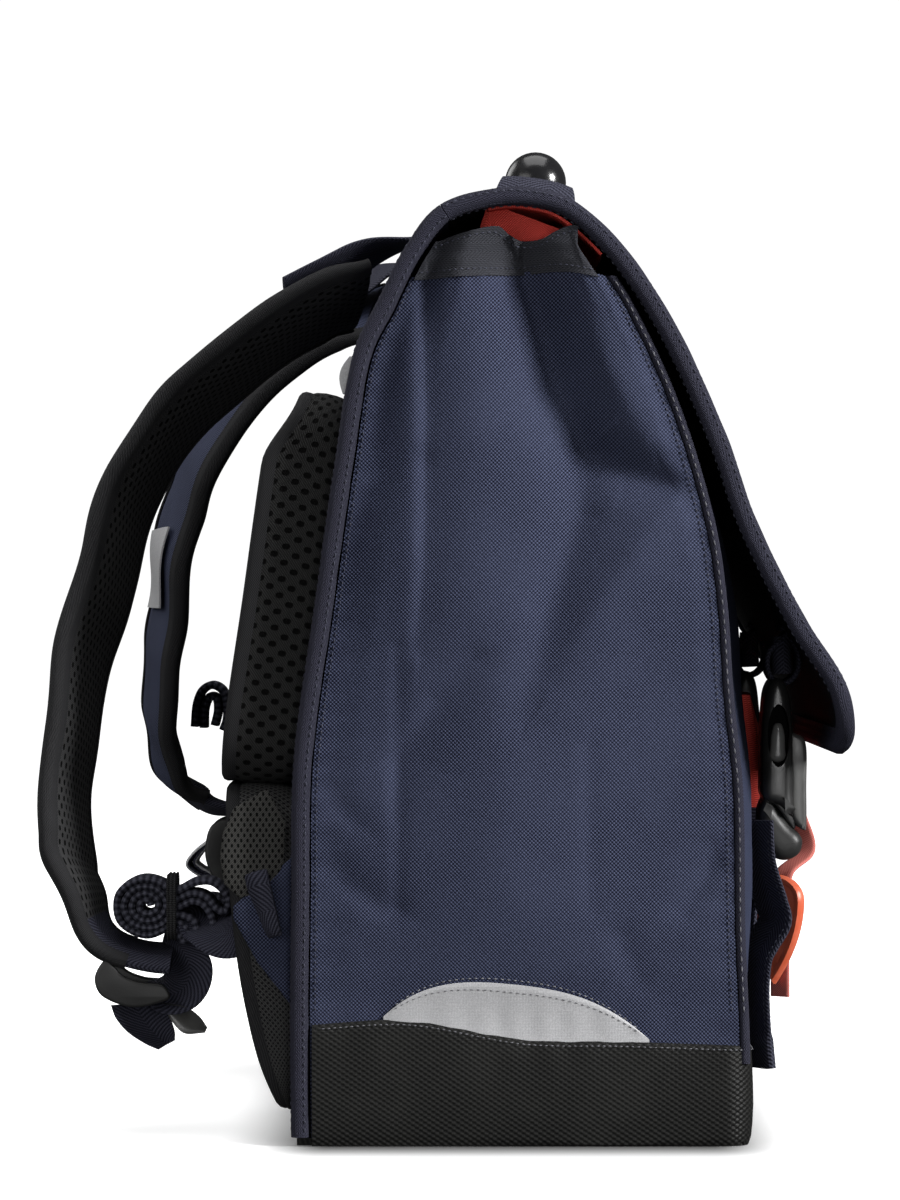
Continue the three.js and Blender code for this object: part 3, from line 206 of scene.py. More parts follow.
# Coated cloth with small embossed lozenges
def coatedCloth(name, dark, light, pitch=0.0019):
    mat, shader = startMaterial(name, 0.5, 0.15)
    u, v = uvPair(mat)
    lozenge = calc(mat, "MULTIPLY", waves(mat, u, pitch), waves(mat, v, pitch * 0.66))
    blotch = noiseAt(mat, objectPlace(mat), 45.0, 4.0)
    tone = blendColour(mat, between(mat, lozenge, -0.5, 0.7), dark, light)
    tone = blendColour(mat, calc(mat, "MULTIPLY", between(mat, blotch, 0.4, 0.75), 0.3), tone,
                       tuple(1.5 * c for c in light))
    return finishMaterial(mat, shader, tone, lozenge, 0.00025, 0.7)


def reflectiveCloth(name, dark, light):
    mat, shader = startMaterial(name, 0.42, 0.2)
    u, v = uvPair(mat)
    cross = calc(mat, "MULTIPLY", waves(mat, calc(mat, "ADD", u, v), 0.0011),
                 waves(mat, calc(mat, "SUBTRACT", u, v), 0.0011))
    speck = noiseAt(mat, objectPlace(mat), 2200.0, 1.0)
    tone = blendColour(mat, calc(mat, "MULTIPLY", between(mat, speck, 0.3, 0.75), 0.8), dark, light)
    tone = blendColour(mat, calc(mat, "MULTIPLY", between(mat, cross, 0.1, 0.9), 0.25), tone, light)
    return finishMaterial(mat, shader, tone, cross, 0.00008, 0.4)


def moulded(name, tone, worn, roughness=0.42, specular=0.4, grainScale=1400.0, depth=0.00006):
    mat, shader = startMaterial(name, roughness, specular)
    place = objectPlace(mat)
    grain = noiseAt(mat, place, grainScale, 2.0)
    blotch = noiseAt(mat, place, 90.0, 3.0)
    colour = blendColour(mat, calc(mat, "MULTIPLY", between(mat, blotch, 0.35, 0.75), 0.6), tone, worn)
    rough = calc(mat, "ADD", calc(mat, "MULTIPLY", between(mat, blotch, 0.3, 0.8), 0.12), roughness - 0.04)
    mat.node_tree.links.new(rough, shader.inputs["Roughness"])
    return finishMaterial(mat, shader, colour, grain, depth, 0.5)


navyCloth = wovenCloth("navyCloth", (0.006, 0.007, 0.016), (0.074, 0.086, 0.146), 0.0014, 0.75, 0.0003)
coralLining = wovenCloth("coralLining", (0.44, 0.030, 0.024), (0.86, 0.120, 0.094), 0.0008, 0.7, 0.0001)
ribbonCloth = wovenCloth("pinkRibbon", (0.40, 0.09, 0.075), (0.72, 0.26, 0.22), 0.0009, 0.6, 0.0001)
darkTape = ribbedTape("darkTape", (0.005, 0.005, 0.008), (0.046, 0.046, 0.068), 0.0013, 0.0044, 1.0)
padTape = ribbedTape("padTape", (0.006, 0.006, 0.007), (0.040, 0.040, 0.042), 0.0013, 0.02, 1.0)
webbingCloth = ribbedTape("webbingCloth", (0.007, 0.007, 0.012), (0.054, 0.055, 0.078), 0.0015, 0.02, 0.35)
bandCloth = ribbedTape("bandCloth", (0.006, 0.006, 0.008), (0.066, 0.068, 0.080), 0.0014, 0.0060, 1.4)
elasticCloth = ribbedTape("elasticCloth", (0.006, 0.006, 0.007), (0.050, 0.050, 0.052), 0.0008, 0.5, 0.0)
airMesh = openMesh("airMesh", (0.026, 0.026, 0.026), (0.003, 0.003, 0.003), 0.0046, 0.0072, 0.0012, size=0.3)
fineMesh = openMesh("fineMesh", (0.046, 0.046, 0.046), (0.007, 0.007, 0.008), 0.0016, 0.0022, 0.0004)
coarseMesh = openMesh("coarseMesh", (0.060, 0.059, 0.056), (0.006, 0.006, 0.006), 0.0023, 0.0038, 0.0008)
strapMesh = openMesh("strapMesh", (0.048, 0.048, 0.049), (0.003, 0.003, 0.003), 0.0038, 0.0062, 0.0010, size=0.3)
coatedBase = coatedCloth("coatedBase", (0.005, 0.005, 0.005), (0.014, 0.014, 0.013), 0.0030)
reflectiveGrey = reflectiveCloth("reflectiveGrey", (0.36, 0.36, 0.37), (0.50, 0.50, 0.51))
blackPlastic = moulded("blackPlastic", (0.018, 0.018, 0.018), (0.028, 0.028, 0.028), 0.33, 0.5)
adjusterPlastic = moulded("adjusterPlastic", (0.020, 0.020, 0.020), (0.030, 0.030, 0.029), 0.4, 0.35)
gripRubber = moulded("gripRubber", (0.009, 0.009, 0.010), (0.018, 0.018, 0.019), 0.22, 0.5)
orangeRubber = moulded("orangeRubber", (0.58, 0.105, 0.045), (0.74, 0.20, 0.12), 0.35, 0.4)
darkThread = moulded("darkThread", (0.045, 0.047, 0.065), (0.085, 0.087, 0.115), 0.7, 0.1)
paleThread = moulded("paleThread", (0.11, 0.11, 0.12), (0.20, 0.20, 0.22), 0.7, 0.1)
# Pale grey plastic: on the buckle plate this pale colour is a painted highlight
paleGreyPlastic = moulded("paleGreyPlastic", (0.060, 0.060, 0.058), (0.095, 0.095, 0.092), 0.34, 0.5)
# Light grey: painted highlight for the buckle lever
leverHighlightGrey = moulded("leverHighlightGrey", (0.17, 0.17, 0.166), (0.23, 0.23, 0.225), 0.32, 0.5)
# Near-black matte plastic: painted shade, used for the block inside the buckle window
windowShadeBlack = moulded("windowShadeBlack", (0.003, 0.003, 0.003), (0.006, 0.006, 0.006), 0.8, 0.05)
greyThread = moulded("greyThread", (0.18, 0.18, 0.19), (0.26, 0.26, 0.27), 0.7, 0.1)
hankCloth = ribbedTape("hankCloth", (0.008, 0.008, 0.013), (0.075, 0.076, 0.100), 0.0024, 0.5, 0.0)
lidLining = wovenCloth("lidLining", (0.004, 0.004, 0.006), (0.016, 0.016, 0.020), 0.0009, 0.8, 0.0001)
floorWhite, floorShader = startMaterial("floorWhite", 0.9, 0.1)
# The floor glows where it is open to the studio; a painted contact shadow darkens its colour and its glow in a narrow
# band round the base
floorAway = addNode(floorWhite, "ShaderNodeVectorMath", {0: objectPlace(floorWhite)},
                    operation="LENGTH").outputs["Value"]
farGlow = calc(floorWhite, "MULTIPLY", between(floorWhite, floorAway, 0.22, 0.9), studio["wall"] - studio["floorGlow"])
glow = calc(floorWhite, "ADD", farGlow, studio["floorGlow"])
fromBase = objectPlace(floorWhite)
for step, amount in (("ABSOLUTE", (0, 0, 0)), ("SUBTRACT", (0.187, 0.070, 1.0)), ("MAXIMUM", (0, 0, 0))):
    fromBase = addNode(floorWhite, "ShaderNodeVectorMath", {0: fromBase, 1: amount}, operation=step).outputs["Vector"]
fromBase = addNode(floorWhite, "ShaderNodeVectorMath", {0: fromBase, 1: (1, 1.7, 1)},
                   operation="MULTIPLY").outputs["Vector"]
fromBase = addNode(floorWhite, "ShaderNodeVectorMath", {0: fromBase}, operation="LENGTH").outputs["Value"]
# Painted contact shadow: near the base footprint the floor's glow fades out and its colour goes from white to near
# black
outsidePaintedShadow = between(floorWhite, fromBase, -0.006, 0.072)
glow = calc(floorWhite, "MULTIPLY", glow, outsidePaintedShadow)
floorWhite.node_tree.links.new(blendColour(floorWhite, outsidePaintedShadow, (0.08, 0.08, 0.08), (0.92, 0.92, 0.92)),
                               floorShader.inputs["Base Color"])
floorShader.inputs["Emission Color"].default_value = (1, 1, 1, 1)
floorWhite.node_tree.links.new(glow, floorShader.inputs["Emission Strength"])
print("materials made")


# Mesh helpers: a piece is made of grids of points that are welded where they meet
def gridUv(grid, startAt=(0.0, 0.0)):
    runs = [np.r_[0, np.cumsum(np.linalg.norm(np.diff(grid, axis=a), axis=2).mean(1 - a))] for a in (1, 0)]
    u, v = np.meshgrid(runs[0] + startAt[0], runs[1] + startAt[1])
    return np.stack([u, v], -1)


def weldAndShade(mesh, weld, sharp):
    work = bmesh.new()
    work.from_mesh(mesh)
    bmesh.ops.remove_doubles(work, verts=work.verts, dist=weld)
    bmesh.ops.recalc_face_normals(work, faces=work.faces)
    work.to_mesh(mesh)
    work.free()
    mesh.polygons.foreach_set("use_smooth", [True] * len(mesh.polygons))
    mesh.set_sharp_from_angle(angle=math.radians(sharp))


def makePiece(name, patches, finishes, sharp=38, weld=3e-6):
    points, faces, uvs, slots, start = [], [], [], [], 0
    for patch in patches:
        grid, uv = patch[0], patch[1]
        rows, columns = grid.shape[:2]
        index = start + np.arange(rows * columns).reshape(rows, columns)
        quads = np.stack([index[:-1, :-1], index[:-1, 1:], index[1:, 1:], index[1:, :-1]], -1).reshape(-1, 4)
        points.append(grid.reshape(-1, 3))
        uvs.append((gridUv(grid) if uv is None else uv).reshape(-1, 2))
        faces.append(quads)
        slots += [patch[2] if len(patch) > 2 else 0] * len(quads)
        start += rows * columns
    mesh = bpy.data.meshes.new(name)
    mesh.from_pydata(np.vstack(points).tolist(), [], np.vstack(faces).tolist())
    corners = np.empty(len(mesh.loops), np.int32)
    mesh.loops.foreach_get("vertex_index", corners)
    mesh.uv_layers.new(name="UVMap").data.foreach_set("uv", np.vstack(uvs)[corners].ravel())
    mesh.polygons.foreach_set("material_index", slots)
    weldAndShade(mesh, weld, sharp)
    for finish in finishes:
        mesh.materials.append(finish)
    return linkNew(name, mesh)


def wallPatches(outer, inner, uv=None, innerSlot=0):
    uv = gridUv(outer) if uv is None else uv
    patches = [(outer, uv, 0), (inner, uv, innerSlot)]
    for pick in (lambda g: g[0], lambda g: g[-1], lambda g: g[:, 0], lambda g: g[:, -1]):
        edge = pick(uv)
        patches.append((np.stack([pick(outer), pick(inner)]), np.stack([edge, edge + 0.001]), 0))
    return patches


def endCaps(hoops, slot):
    return [(np.stack([hoop, np.broadcast_to(hoop[:-1].mean(0), hoop.shape)]), None, slot)
            for hoop in (hoops[0], hoops[-1])]


def tubePatches(rings, closed=False, slotOf=None):
    rings = np.concatenate([rings, rings[:, :1]], axis=1)
    if closed:
        rings = np.concatenate([rings, rings[:1]])
    patches = []
    uv = gridUv(rings)
    if slotOf is None:
        patches.append((rings, uv, 0))
    else:
        for i in range(rings.shape[1] - 1):
            patches.append((rings[:, i:i + 2], uv[:, i:i + 2], slotOf[i]))
    return patches if closed else patches + endCaps(rings, 0)


def place(piece, slotName, *replaced):
    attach(piece, "root")
    if replaced:
        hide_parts(*replaced)
    return piece


def walkAlong(line):
    return np.r_[0, np.cumsum(np.linalg.norm(np.diff(line, axis=0), axis=1))]


def lengthOf(line):
    return float(np.linalg.norm(np.diff(line, axis=0), axis=1).sum())


def ease(value, low, high):
    t = np.clip((np.asarray(value, float) - low) / (high - low), 0, 1)
    return t * t * (3 - 2 * t)


def mix(a, b, share):
    return a + (b - a) * share


def unit(vectors):
    return vectors / np.linalg.norm(vectors, axis=-1, keepdims=True)


def smoothColumn(places, values, at):
    xs, ys = np.array(places, float), np.array(values, float)
    at = np.clip(at, xs[0], xs[-1])
    i = np.clip(np.searchsorted(xs, at, "right") - 1, 0, len(xs) - 2)
    before, after = np.maximum(i - 1, 0), np.minimum(i + 2, len(xs) - 1)
    run = xs[i + 1] - xs[i]
    t = (at - xs[i]) / run
    slopeA = (ys[i + 1] - ys[before]) / (xs[i + 1] - xs[before]) * run
    slopeB = (ys[after] - ys[i]) / (xs[after] - xs[i]) * run
    return ((2 * t ** 3 - 3 * t ** 2 + 1) * ys[i] + (t ** 3 - 2 * t ** 2 + t) * slopeA
            + (3 * t ** 2 - 2 * t ** 3) * ys[i + 1] + (t ** 3 - t ** 2) * slopeB)


def tableAt(rows, at):
    return smoothColumn(*zip(*rows), at)


def curveThrough(points, perSpan):
    p = np.array(points, float)
    p = np.vstack([2 * p[0] - p[1], p, 2 * p[-1] - p[-2]])
    t = (np.arange(perSpan) / perSpan)[:, None]
    runs = []
    for i in range(1, len(p) - 2):
        p0, p1, p2, p3 = p[i - 1:i + 3]
        d0, d1, d2 = [max(np.linalg.norm(b - a), 1e-9) ** 0.5 for a, b in ((p0, p1), (p1, p2), (p2, p3))]
        m1 = ((p1 - p0) / d0 - (p2 - p0) / (d0 + d1) + (p2 - p1) / d1) * d1
        m2 = ((p2 - p1) / d1 - (p3 - p1) / (d1 + d2) + (p3 - p2) / d2) * d1
        runs.append(p1 + m1 * t + (-3 * p1 + 3 * p2 - 2 * m1 - m2) * t ** 2 + (2 * p1 - 2 * p2 + m1 + m2) * t ** 3)
    return np.vstack(runs + [p[-2:-1]])


# The lines that the whole bag hangs on, as shares of half the depth and of the height
backRows = [(0.99, 0), (0.995, 0.12), (0.99, 0.26), (0.98, 0.4), (0.885, 0.57), (0.8, 0.714), (0.715, 0.832),
            (0.612, 0.883), (0.499, 0.937), (0.346, 0.982)]
lidRows = [(0.092, 1), (-0.05, 1), (-0.213, 0.99), (-0.42, 0.949), (-0.664, 0.865), (-0.907, 0.739),
           (-1.028, 0.656), (-1.25, 0.549), (-1.424, 0.482), (-1.467, 0.434), (-1.456, 0.417), (-1.422, 0.404)]
frontRows = [(0.985, 0), (0.985, 0.1), (0.965, 0.22), (0.955, 0.37), (0.915, 0.466), (0.885, 0.569), (0.83, 0.654),
             (0.675, 0.777), (0.47, 0.883), (0.31, 0.94)]
topRows = [(0, 0.908), (0.3, 0.912), (0.55, 0.914), (0.8, 0.916), (1, 0.908)]
baseRows = [(0, 1.08), (0.22, 1.12), (0.48, 0.95), (0.7, 0.93), (1, 0.89)]
shellSteps = 24


def makeShell():
    rows = backRows + lidRows
    line = curveThrough([(b * halfDeep, u * tall) for b, u in rows], shellSteps)
    tangent = unit(np.gradient(line, axis=0))
    middle = line + np.stack([-tangent[:, 1], tangent[:, 0]], -1) * bag["tapeThick"] / 2
    along = walkAlong(middle)
    return {"along": along, "y": middle[:, 0], "z": middle[:, 1], "ny": tangent[:, 1], "nz": -tangent[:, 0]}


shell = makeShell()
seamIndex = (len(backRows) - 1) * shellSteps
lipIndex = int(np.argmin(shell["y"]))
shellSeam = shell["along"][seamIndex]
shellEnd = shell["along"][-1]


def shellPoint(x, along, lift=0.0):
    y, z, ny, nz = [np.interp(along, shell["along"], shell[key]) for key in ("y", "z", "ny", "nz")]
    return np.stack(np.broadcast_arrays(x, y + ny * lift, z + nz * lift), -1)


def alongAtHeight(height):
    return np.interp(height, shell["z"][:seamIndex + 1], shell["along"][:seamIndex + 1])


def alongAtDepth(depth):
    low = int(seamIndex * 0.9)
    return np.interp(-depth, -shell["y"][low:lipIndex], shell["along"][low:lipIndex])


def backFace(height, lift):
    along = alongAtHeight(height)
    return np.interp(along, shell["along"], shell["y"]) + lift / np.interp(along, shell["along"], shell["ny"])


def frontLine(height):
    return -smoothColumn([u for f, u in frontRows], [f for f, u in frontRows], np.asarray(height) / tall) * halfDeep


baseTop = bag["baseWall"] + seat
panelFace = bag["board"] / 2 + seat
panelHalf = halfWide - bag["tapeWide"] - seat
frontHalf = halfWide - bag["sideInset"] - 0.006
frontTop = tall * 0.88

# Fold lines of a side panel, running down: depth and height of a point, how deep the cloth lies there (less than
# Nothing is a ridge), and how far the fold reaches to the back and to the front, all in millimetres
foldLines = [
    [(10, 190, -6, 45, 45), (5, 95, -6, 45, 45)],
    [(-0.9, 321, 11, 13, 10), (-8, 300, 12, 14, 11), (-13.5, 278, 11, 15, 11), (-23.8, 254.4, 8, 13, 9.5),
     (-39.9, 245.5, 5.5, 8, 8), (-59.4, 239.9, 2.5, 4, 5)],
    [(-24, 318, -2, 7, 12), (-34, 285, -3, 9, 14), (-48, 258, -2, 8, 10)],
    [(-23.8, 252, 3.5, 9, 9), (-21.8, 230.7, 5, 8, 10), (-12.1, 198.7, 4.2, 8, 10), (-2.3, 159.7, 1.2, 8, 10)],
    [(-59.4, 237.7, -1.8, 7, 12), (-42.7, 215.4, -3, 8, 14), (-27, 192, -2.6, 8, 16), (-12.1, 168.1, -1.2, 8, 16)],
    [(33.9, 315.7, 3, 3.5, 9), (33, 268.3, 3, 3, 9), (33.9, 212.6, 2.2, 2.5, 9), (36.7, 182, 0.7, 2.5, 7)],
    [(52, 312, 4.5, 9, 8), (58, 262, 3.5, 9, 9), (63, 235, 1.5, 8, 8)],
    [(38.1, 251.6, 1.2, 4, 5), (63.1, 240.5, 1.8, 4, 6)],
    [(15.8, 176.4, 1.2, 4, 8), (29.7, 162.5, 2, 4, 9), (43.6, 140.2, 1.6, 4, 12), (44.5, 120, 0.5, 3, 6)],
    [(44.5, 182, 0.5, 1.8, 2.6), (44.5, 87.3, 0.5, 1.8, 2.6)],
    [(75.7, 131.9, 1.6, 3, 5), (60.3, 117.9, 0.9, 3, 5)],
    [(72.9, 101.2, 1.8, 4, 6), (46.4, 85.9, 1, 4, 6)],
    [(-72.8, 104.6, 2, 5, 4), (-59.4, 87.3, 1.2, 5, 4)],
    [(-25.4, 145.8, 0.5, 2.5, 4), (-26, 87.3, 0.5, 2.5, 4)],
    [(-37.1, 76.2, 0.9, 5, 5), (-44.1, 59.4, 0.8, 5, 5)]]
foldRound = 1.2  # radius of a fold's line


def foldDepth(y, z):
    y, z = y * 1000, z * 1000
    total = 0
    for line in foldLines:
        nearest, depth = np.full(y.shape, 1e9), np.zeros(y.shape)
        for (ay, az, *a), (by, bz, *b) in zip(line[:-1], line[1:]):
            dy, dz = by - ay, bz - az
            t = np.clip(((y - ay) * dy + (z - az) * dz) / (dy * dy + dz * dz), 0, 1)
            wy, wz = y - ay - dy * t, z - az - dz * t
            away = np.hypot(wy, wz)
            towardsBack = (dy * (z - az) - dz * (y - ay)) > 0
            reachHere = np.where(towardsBack, mix(a[1], b[1], t), mix(a[2], b[2], t))
            softAway = np.sqrt(away ** 2 + foldRound ** 2) - foldRound
            here = mix(a[0], b[0], t) * np.exp(-(softAway / reachHere) ** 1.5)
            depth = np.where(away < nearest, here, depth)
            nearest = np.minimum(nearest, away)
        total = total + depth
    return total * 1.3 / 1000


# Puckers that the seams draw into the cloth, and slack between them
def puckers(share, up, fineness=1.0):
    run, rise = bag["deep"] * share, tall * 0.91 * up
    edge = 0.0
    for away, walk, pitch, turn in ((run, rise, 0.0105, 0.0), (bag["deep"] - run, rise, 0.012, 1.3),
                                    (tall * 0.91 - rise, run, 0.013, 0.6), (rise - 0.038, run, 0.0145, 2.1)):
        wave = np.sin(walk * 2 * math.pi / pitch + turn + 2.2 * np.sin(walk * 47 + turn))
        edge = edge + 0.00026 * wave * np.exp(-np.abs(away) / 0.009)
    slack = 0.00035 * np.sin(run * 71 + 3 * np.sin(rise * 23)) * np.sin(rise * 53 + 2 * np.sin(run * 37 + 1))
    return edge + slack * fineness


def sideTop(share):
    return tableAt(topRows, share) * tall


def sidePoint(side, share, height, proud=0.0, fine=True):
    share, height = np.broadcast_arrays(np.asarray(share, float), np.asarray(height, float))
    up = np.minimum((height - baseTop) / (sideTop(share) - baseTop), 1)
    backY = backFace(height, -(bag["tapeThick"] / 2 + 2 * seat))
    frontY = frontLine(height) + 0.0021
    y = mix(backY, frontY, share)
    fade = ease(share, 0, 0.12) * ease(1 - share, 0, 0.07) * ease(up, 0.1, 0.2)
    depth = foldDepth(y, height) * fade
    if fine:
        depth = depth + puckers(share, up) * ease(up, 0.1, 0.14)
    depth = depth + bag["backTuck"] * (1 - ease(share, 0.0, 0.26)) * ease(height, 0.12, 0.24)
    x = halfWide - bag["sideInset"] - depth + proud
    return np.stack([side * x, y, height], -1)


def frontPoint(x, height, proud=0.0):
    x, height = np.broadcast_arrays(np.asarray(x, float), np.asarray(height, float))
    fade = np.maximum(1 - np.abs(x / frontHalf) ** 7, 0)
    rise = ease(height, baseTop, tall * 0.3) * ease(frontTop - height, 0, tall * 0.35)
    return np.stack([x, frontLine(height) - bag["swell"] * fade * rise - proud, height], -1)


def lattice(columns, rows):
    return np.meshgrid(np.linspace(0, 1, columns + 1), np.linspace(0, 1, rows + 1))


# Back, lid and the walls of the bag
def makeBackPanel():
    u, v = lattice(60, 90)
    foot = alongAtHeight(baseTop)
    x, along = mix(-panelHalf, panelHalf, u), mix(foot, shellSeam, v)
    faces = [shellPoint(x, along, lift) for lift in (bag["board"] / 2, -bag["board"] / 2)]
    piece = makePiece("backCloth", wallPatches(*faces, np.stack([x, along], -1)), [navyCloth])
    place(piece, "navy_cloth", "back_panel")


def lidHalfAt(along, inset):
    radius = bag["lidCorner"] - inset
    into = np.maximum(along - (shellEnd - bag["lidCorner"]), 0)
    rounded = halfWide - bag["lidCorner"] + np.sqrt(np.maximum(radius ** 2 - into ** 2, 0))
    return np.where(into <= 0, halfWide - inset, rounded)


def makeLid():
    u, v = lattice(110, 150)
    start, inset = shellSeam + seat, bag["tapeWide"] - 0.001
    along = mix(start, shellEnd - inset - 0.0005, v ** 0.85)
    x = (2 * u - 1) * lidHalfAt(along, inset)
    slack = 0.0004 * np.sin(x * 41 + 2 * np.sin(along * 19)) * np.sin(along * 47 + 1) * ease(0.19 - abs(x), 0, 0.04)
    faces = [shellPoint(x, along, lift + slack) for lift in (bag["lid"] / 2, -bag["lid"] / 2)]
    piece = makePiece("lidCloth", wallPatches(*faces, np.stack([x, along], -1), 1), [navyCloth, lidLining])
    place(piece, "navy_cloth", "lid")


# Folded tape: out runs from the inner edge to the fold, lift is a share of half the thickness
tapeSection = np.array([(0, -0.92), (0.35, -1.02), (0.7, -1), (0.9, -0.8), (1, -0.35), (1, 0.35), (0.9, 0.8), (0.7, 1),
                        (0.35, 1.02), (0, 0.92)])


def tapeRings(x, along, normalX, normalAlong, wide, thick):
    inwards = (1 - tapeSection[:, 0])[None] * wide
    rough = 1 + 0.03 * np.sin(along * 260)[:, None] * np.sin(along * 97)[:, None]
    return shellPoint(x[:, None] - normalX[:, None] * inwards, along[:, None] - normalAlong[:, None] * inwards,
                      tapeSection[:, 1][None] * thick / 2 * rough)


def makeBindings():
    start, straight, corner = shellSeam + seat, shellEnd - bag["lidCorner"], bag["lidCorner"]
    along = np.linspace(start, straight, 120)
    angle = np.linspace(0, math.pi / 2, 22)[1:]
    x = np.r_[np.full(120, -halfWide), -(halfWide - corner + corner * np.cos(angle))]
    along = np.r_[along, straight + corner * np.sin(angle)]
    nx, na = np.r_[np.full(120, -1.0), -np.cos(angle)], np.r_[np.zeros(120), np.sin(angle)]
    middle = np.linspace(x[-1], -x[-1], 60)[1:-1]
    xs = np.r_[x, middle, -x[::-1]]
    alongs = np.r_[along, np.full(58, along[-1]), along[::-1]]
    nxs, nas = np.r_[nx, np.zeros(58), -nx[::-1]], np.r_[na, np.ones(58), na[::-1]]
    piece = makePiece("lidTape", tubePatches(tapeRings(xs, alongs, nxs, nas, bag["tapeWide"], bag["tapeThick"])),
                      [darkTape])
    place(piece, "dark_tape", "lid_binding")
    for word, side in sides.items():
        along = np.linspace(alongAtHeight(baseTop), shellSeam, 130)
        rings = tapeRings(np.full(130, side * halfWide), along, np.full(130, float(side)), np.zeros(130),
                          bag["tapeWide"], bag["tapeThick"])
        place(makePiece(f"backTape_{word}", tubePatches(rings), [darkTape]), "dark_tape", f"back_binding_{word}")


# Coral flaps at the ends of the crown: depth and height of the upper edge
endFlap = {"out": 0.1715, "foot": 0.328, "rows": [(-0.019, 0.3345), (-0.0056, 0.3394), (0.0034, 0.3426),
                                                  (0.011, 0.3462), (0.014, 0.3370)]}


def makeFacing():
    u, v = lattice(40, 30)
    x = mix(-panelHalf, panelHalf, u)
    along = mix(alongAtDepth(halfDeep * 0.14), alongAtDepth(-halfDeep * 0.4), v)
    under = -(bag["lid"] / 2 + 5 * seat) - 0.0006 * np.sin(x * 60) * np.sin(along * 80)
    patches = wallPatches(shellPoint(x, along, under), shellPoint(x, along, under - 0.001), np.stack([x, along], -1))
    depths, tops = zip(*endFlap["rows"])
    a, b = lattice(24, 10)
    for side in (-1, 1):
        y = mix(depths[0], depths[-1], a)
        z = mix(endFlap["foot"], np.interp(y, depths, tops), b)
        bow = 0.0012 * np.sin(a * 9) * np.sin(b * 4)
        faces = [np.stack([side * (endFlap["out"] + bow + lift), y, z], -1) for lift in (0.0006, -0.0006)]
        patches += wallPatches(*faces)
    piece = makePiece("crownLining", patches, [coralLining])
    place(piece, "coral_lining", "lid_facing")


def makeSidePanels():
    for word, side in sides.items():
        u, v = lattice(170, 260)
        height = mix(baseTop, sideTop(u), v)
        outer, inner = sidePoint(side, u, height), sidePoint(side, u, height, -bag["cloth"])
        piece = makePiece(f"sideCloth_{word}", wallPatches(outer, inner, outer[..., 1:], 1), [navyCloth, coralLining])
        place(piece, "navy_cloth", f"side_panel_{word}")


topBandRows = [(0.035, 0.945), (0.15, 0.953), (0.38, 0.9605), (0.5, 0.951), (0.58, 0.9455), (0.71, 0.947),
               (0.81, 0.9557), (0.91, 0.961), (0.955, 0.9603)]


def makeTopBands():
    for word, side in sides.items():
        u, v = lattice(140, 14)
        share = mix(0.02, 0.955, u)
        upper = tableAt(topBandRows, share) * tall
        height = mix(sideTop(share) - 0.0012, upper, v)
        pinch = 0.0012 * np.exp(-((share - 0.6) / 0.025) ** 2)
        outer = sidePoint(side, share, height, 0.0009 - pinch, False)
        inner = sidePoint(side, share, height, -0.0016, False)
        uv = np.stack([height, outer[..., 1]], -1)
        piece = makePiece(f"topBand_{word}", wallPatches(outer, inner, uv), [bandCloth])
        place(piece, "webbing", f"top_band_{word}")


def makeFrontTapes():
    for word, side in sides.items():
        height = np.linspace(0.030, tall * topRows[-1][1], 110)
        x = side * (halfWide - bag["sideInset"] + 0.001 - (1 - tapeSection[:, 0]) * 0.006)
        y = frontLine(height)[:, None] - tapeSection[:, 1][None] * 0.0018
        rings = np.stack(np.broadcast_arrays(x[None], y, height[:, None]), -1)
        place(makePiece(f"frontTape_{word}", tubePatches(rings), [darkTape]), "dark_tape", f"front_tape_{word}")


def makeFrontPanel():
    u, v = lattice(120, 110)
    x, height = mix(-frontHalf, frontHalf, u), mix(baseTop, frontTop, v)
    slack = 0.0004 * np.sin(x * 57 + 2 * np.sin(height * 31)) * np.sin(height * 61) * ease(0.18 - abs(x), 0, 0.03)
    outer, inner = frontPoint(x, height, slack), frontPoint(x, height, slack - bag["cloth"])
    piece = makePiece("frontCloth", wallPatches(outer, inner, np.stack([x, height], -1), 1), [navyCloth, coralLining])
    place(piece, "navy_cloth", "front_panel")


# Coated boot: a wall round the sides and front with a wavy seam, and the bottom plate
boot = {"wall": 0.0018, "proud": 0.0023, "corner": 0.010, "steps": 150}
# Profile of the boot: how proud it stands, a fixed height near the floor, and its share of the seam's height
bootProfile = [(-0.0030, 0.0, 0), (-0.0012, 0.0, 0.02), (-0.0003, 0.0006, 0.05), (0.0, 0.0022, 0.1),
               (0.0004, None, 0.22), (0.0007, None, 0.4), (0.0006, None, 0.6), (0.0003, None, 0.8),
               (0.0, None, 0.92), (-0.0004, None, 0.985), (-0.0010, None, 1.0)]


def bootPath():
    sideX = halfWide - bag["sideInset"] + boot["proud"]
    back = backFace(0.02, -0.0039) - 0.0006
    front = -halfDeep * frontRows[0][0] - 0.0026
    r = boot["corner"]
    sideY = np.linspace(back, front + r, boot["steps"])
    angle = np.linspace(0, math.pi / 2, 14)[1:]
    half = [np.stack([np.full_like(sideY, -sideX), sideY], -1),
            np.stack([-sideX + r - r * np.cos(angle), front + r - r * np.sin(angle)], -1)]
    middle = np.stack([np.linspace(-sideX + r, sideX - r, 150)[1:-1], np.full(148, front)], -1)
    left = np.vstack(half)
    return np.vstack([left, middle, (left * [-1, 1])[::-1]]), back, front, sideX


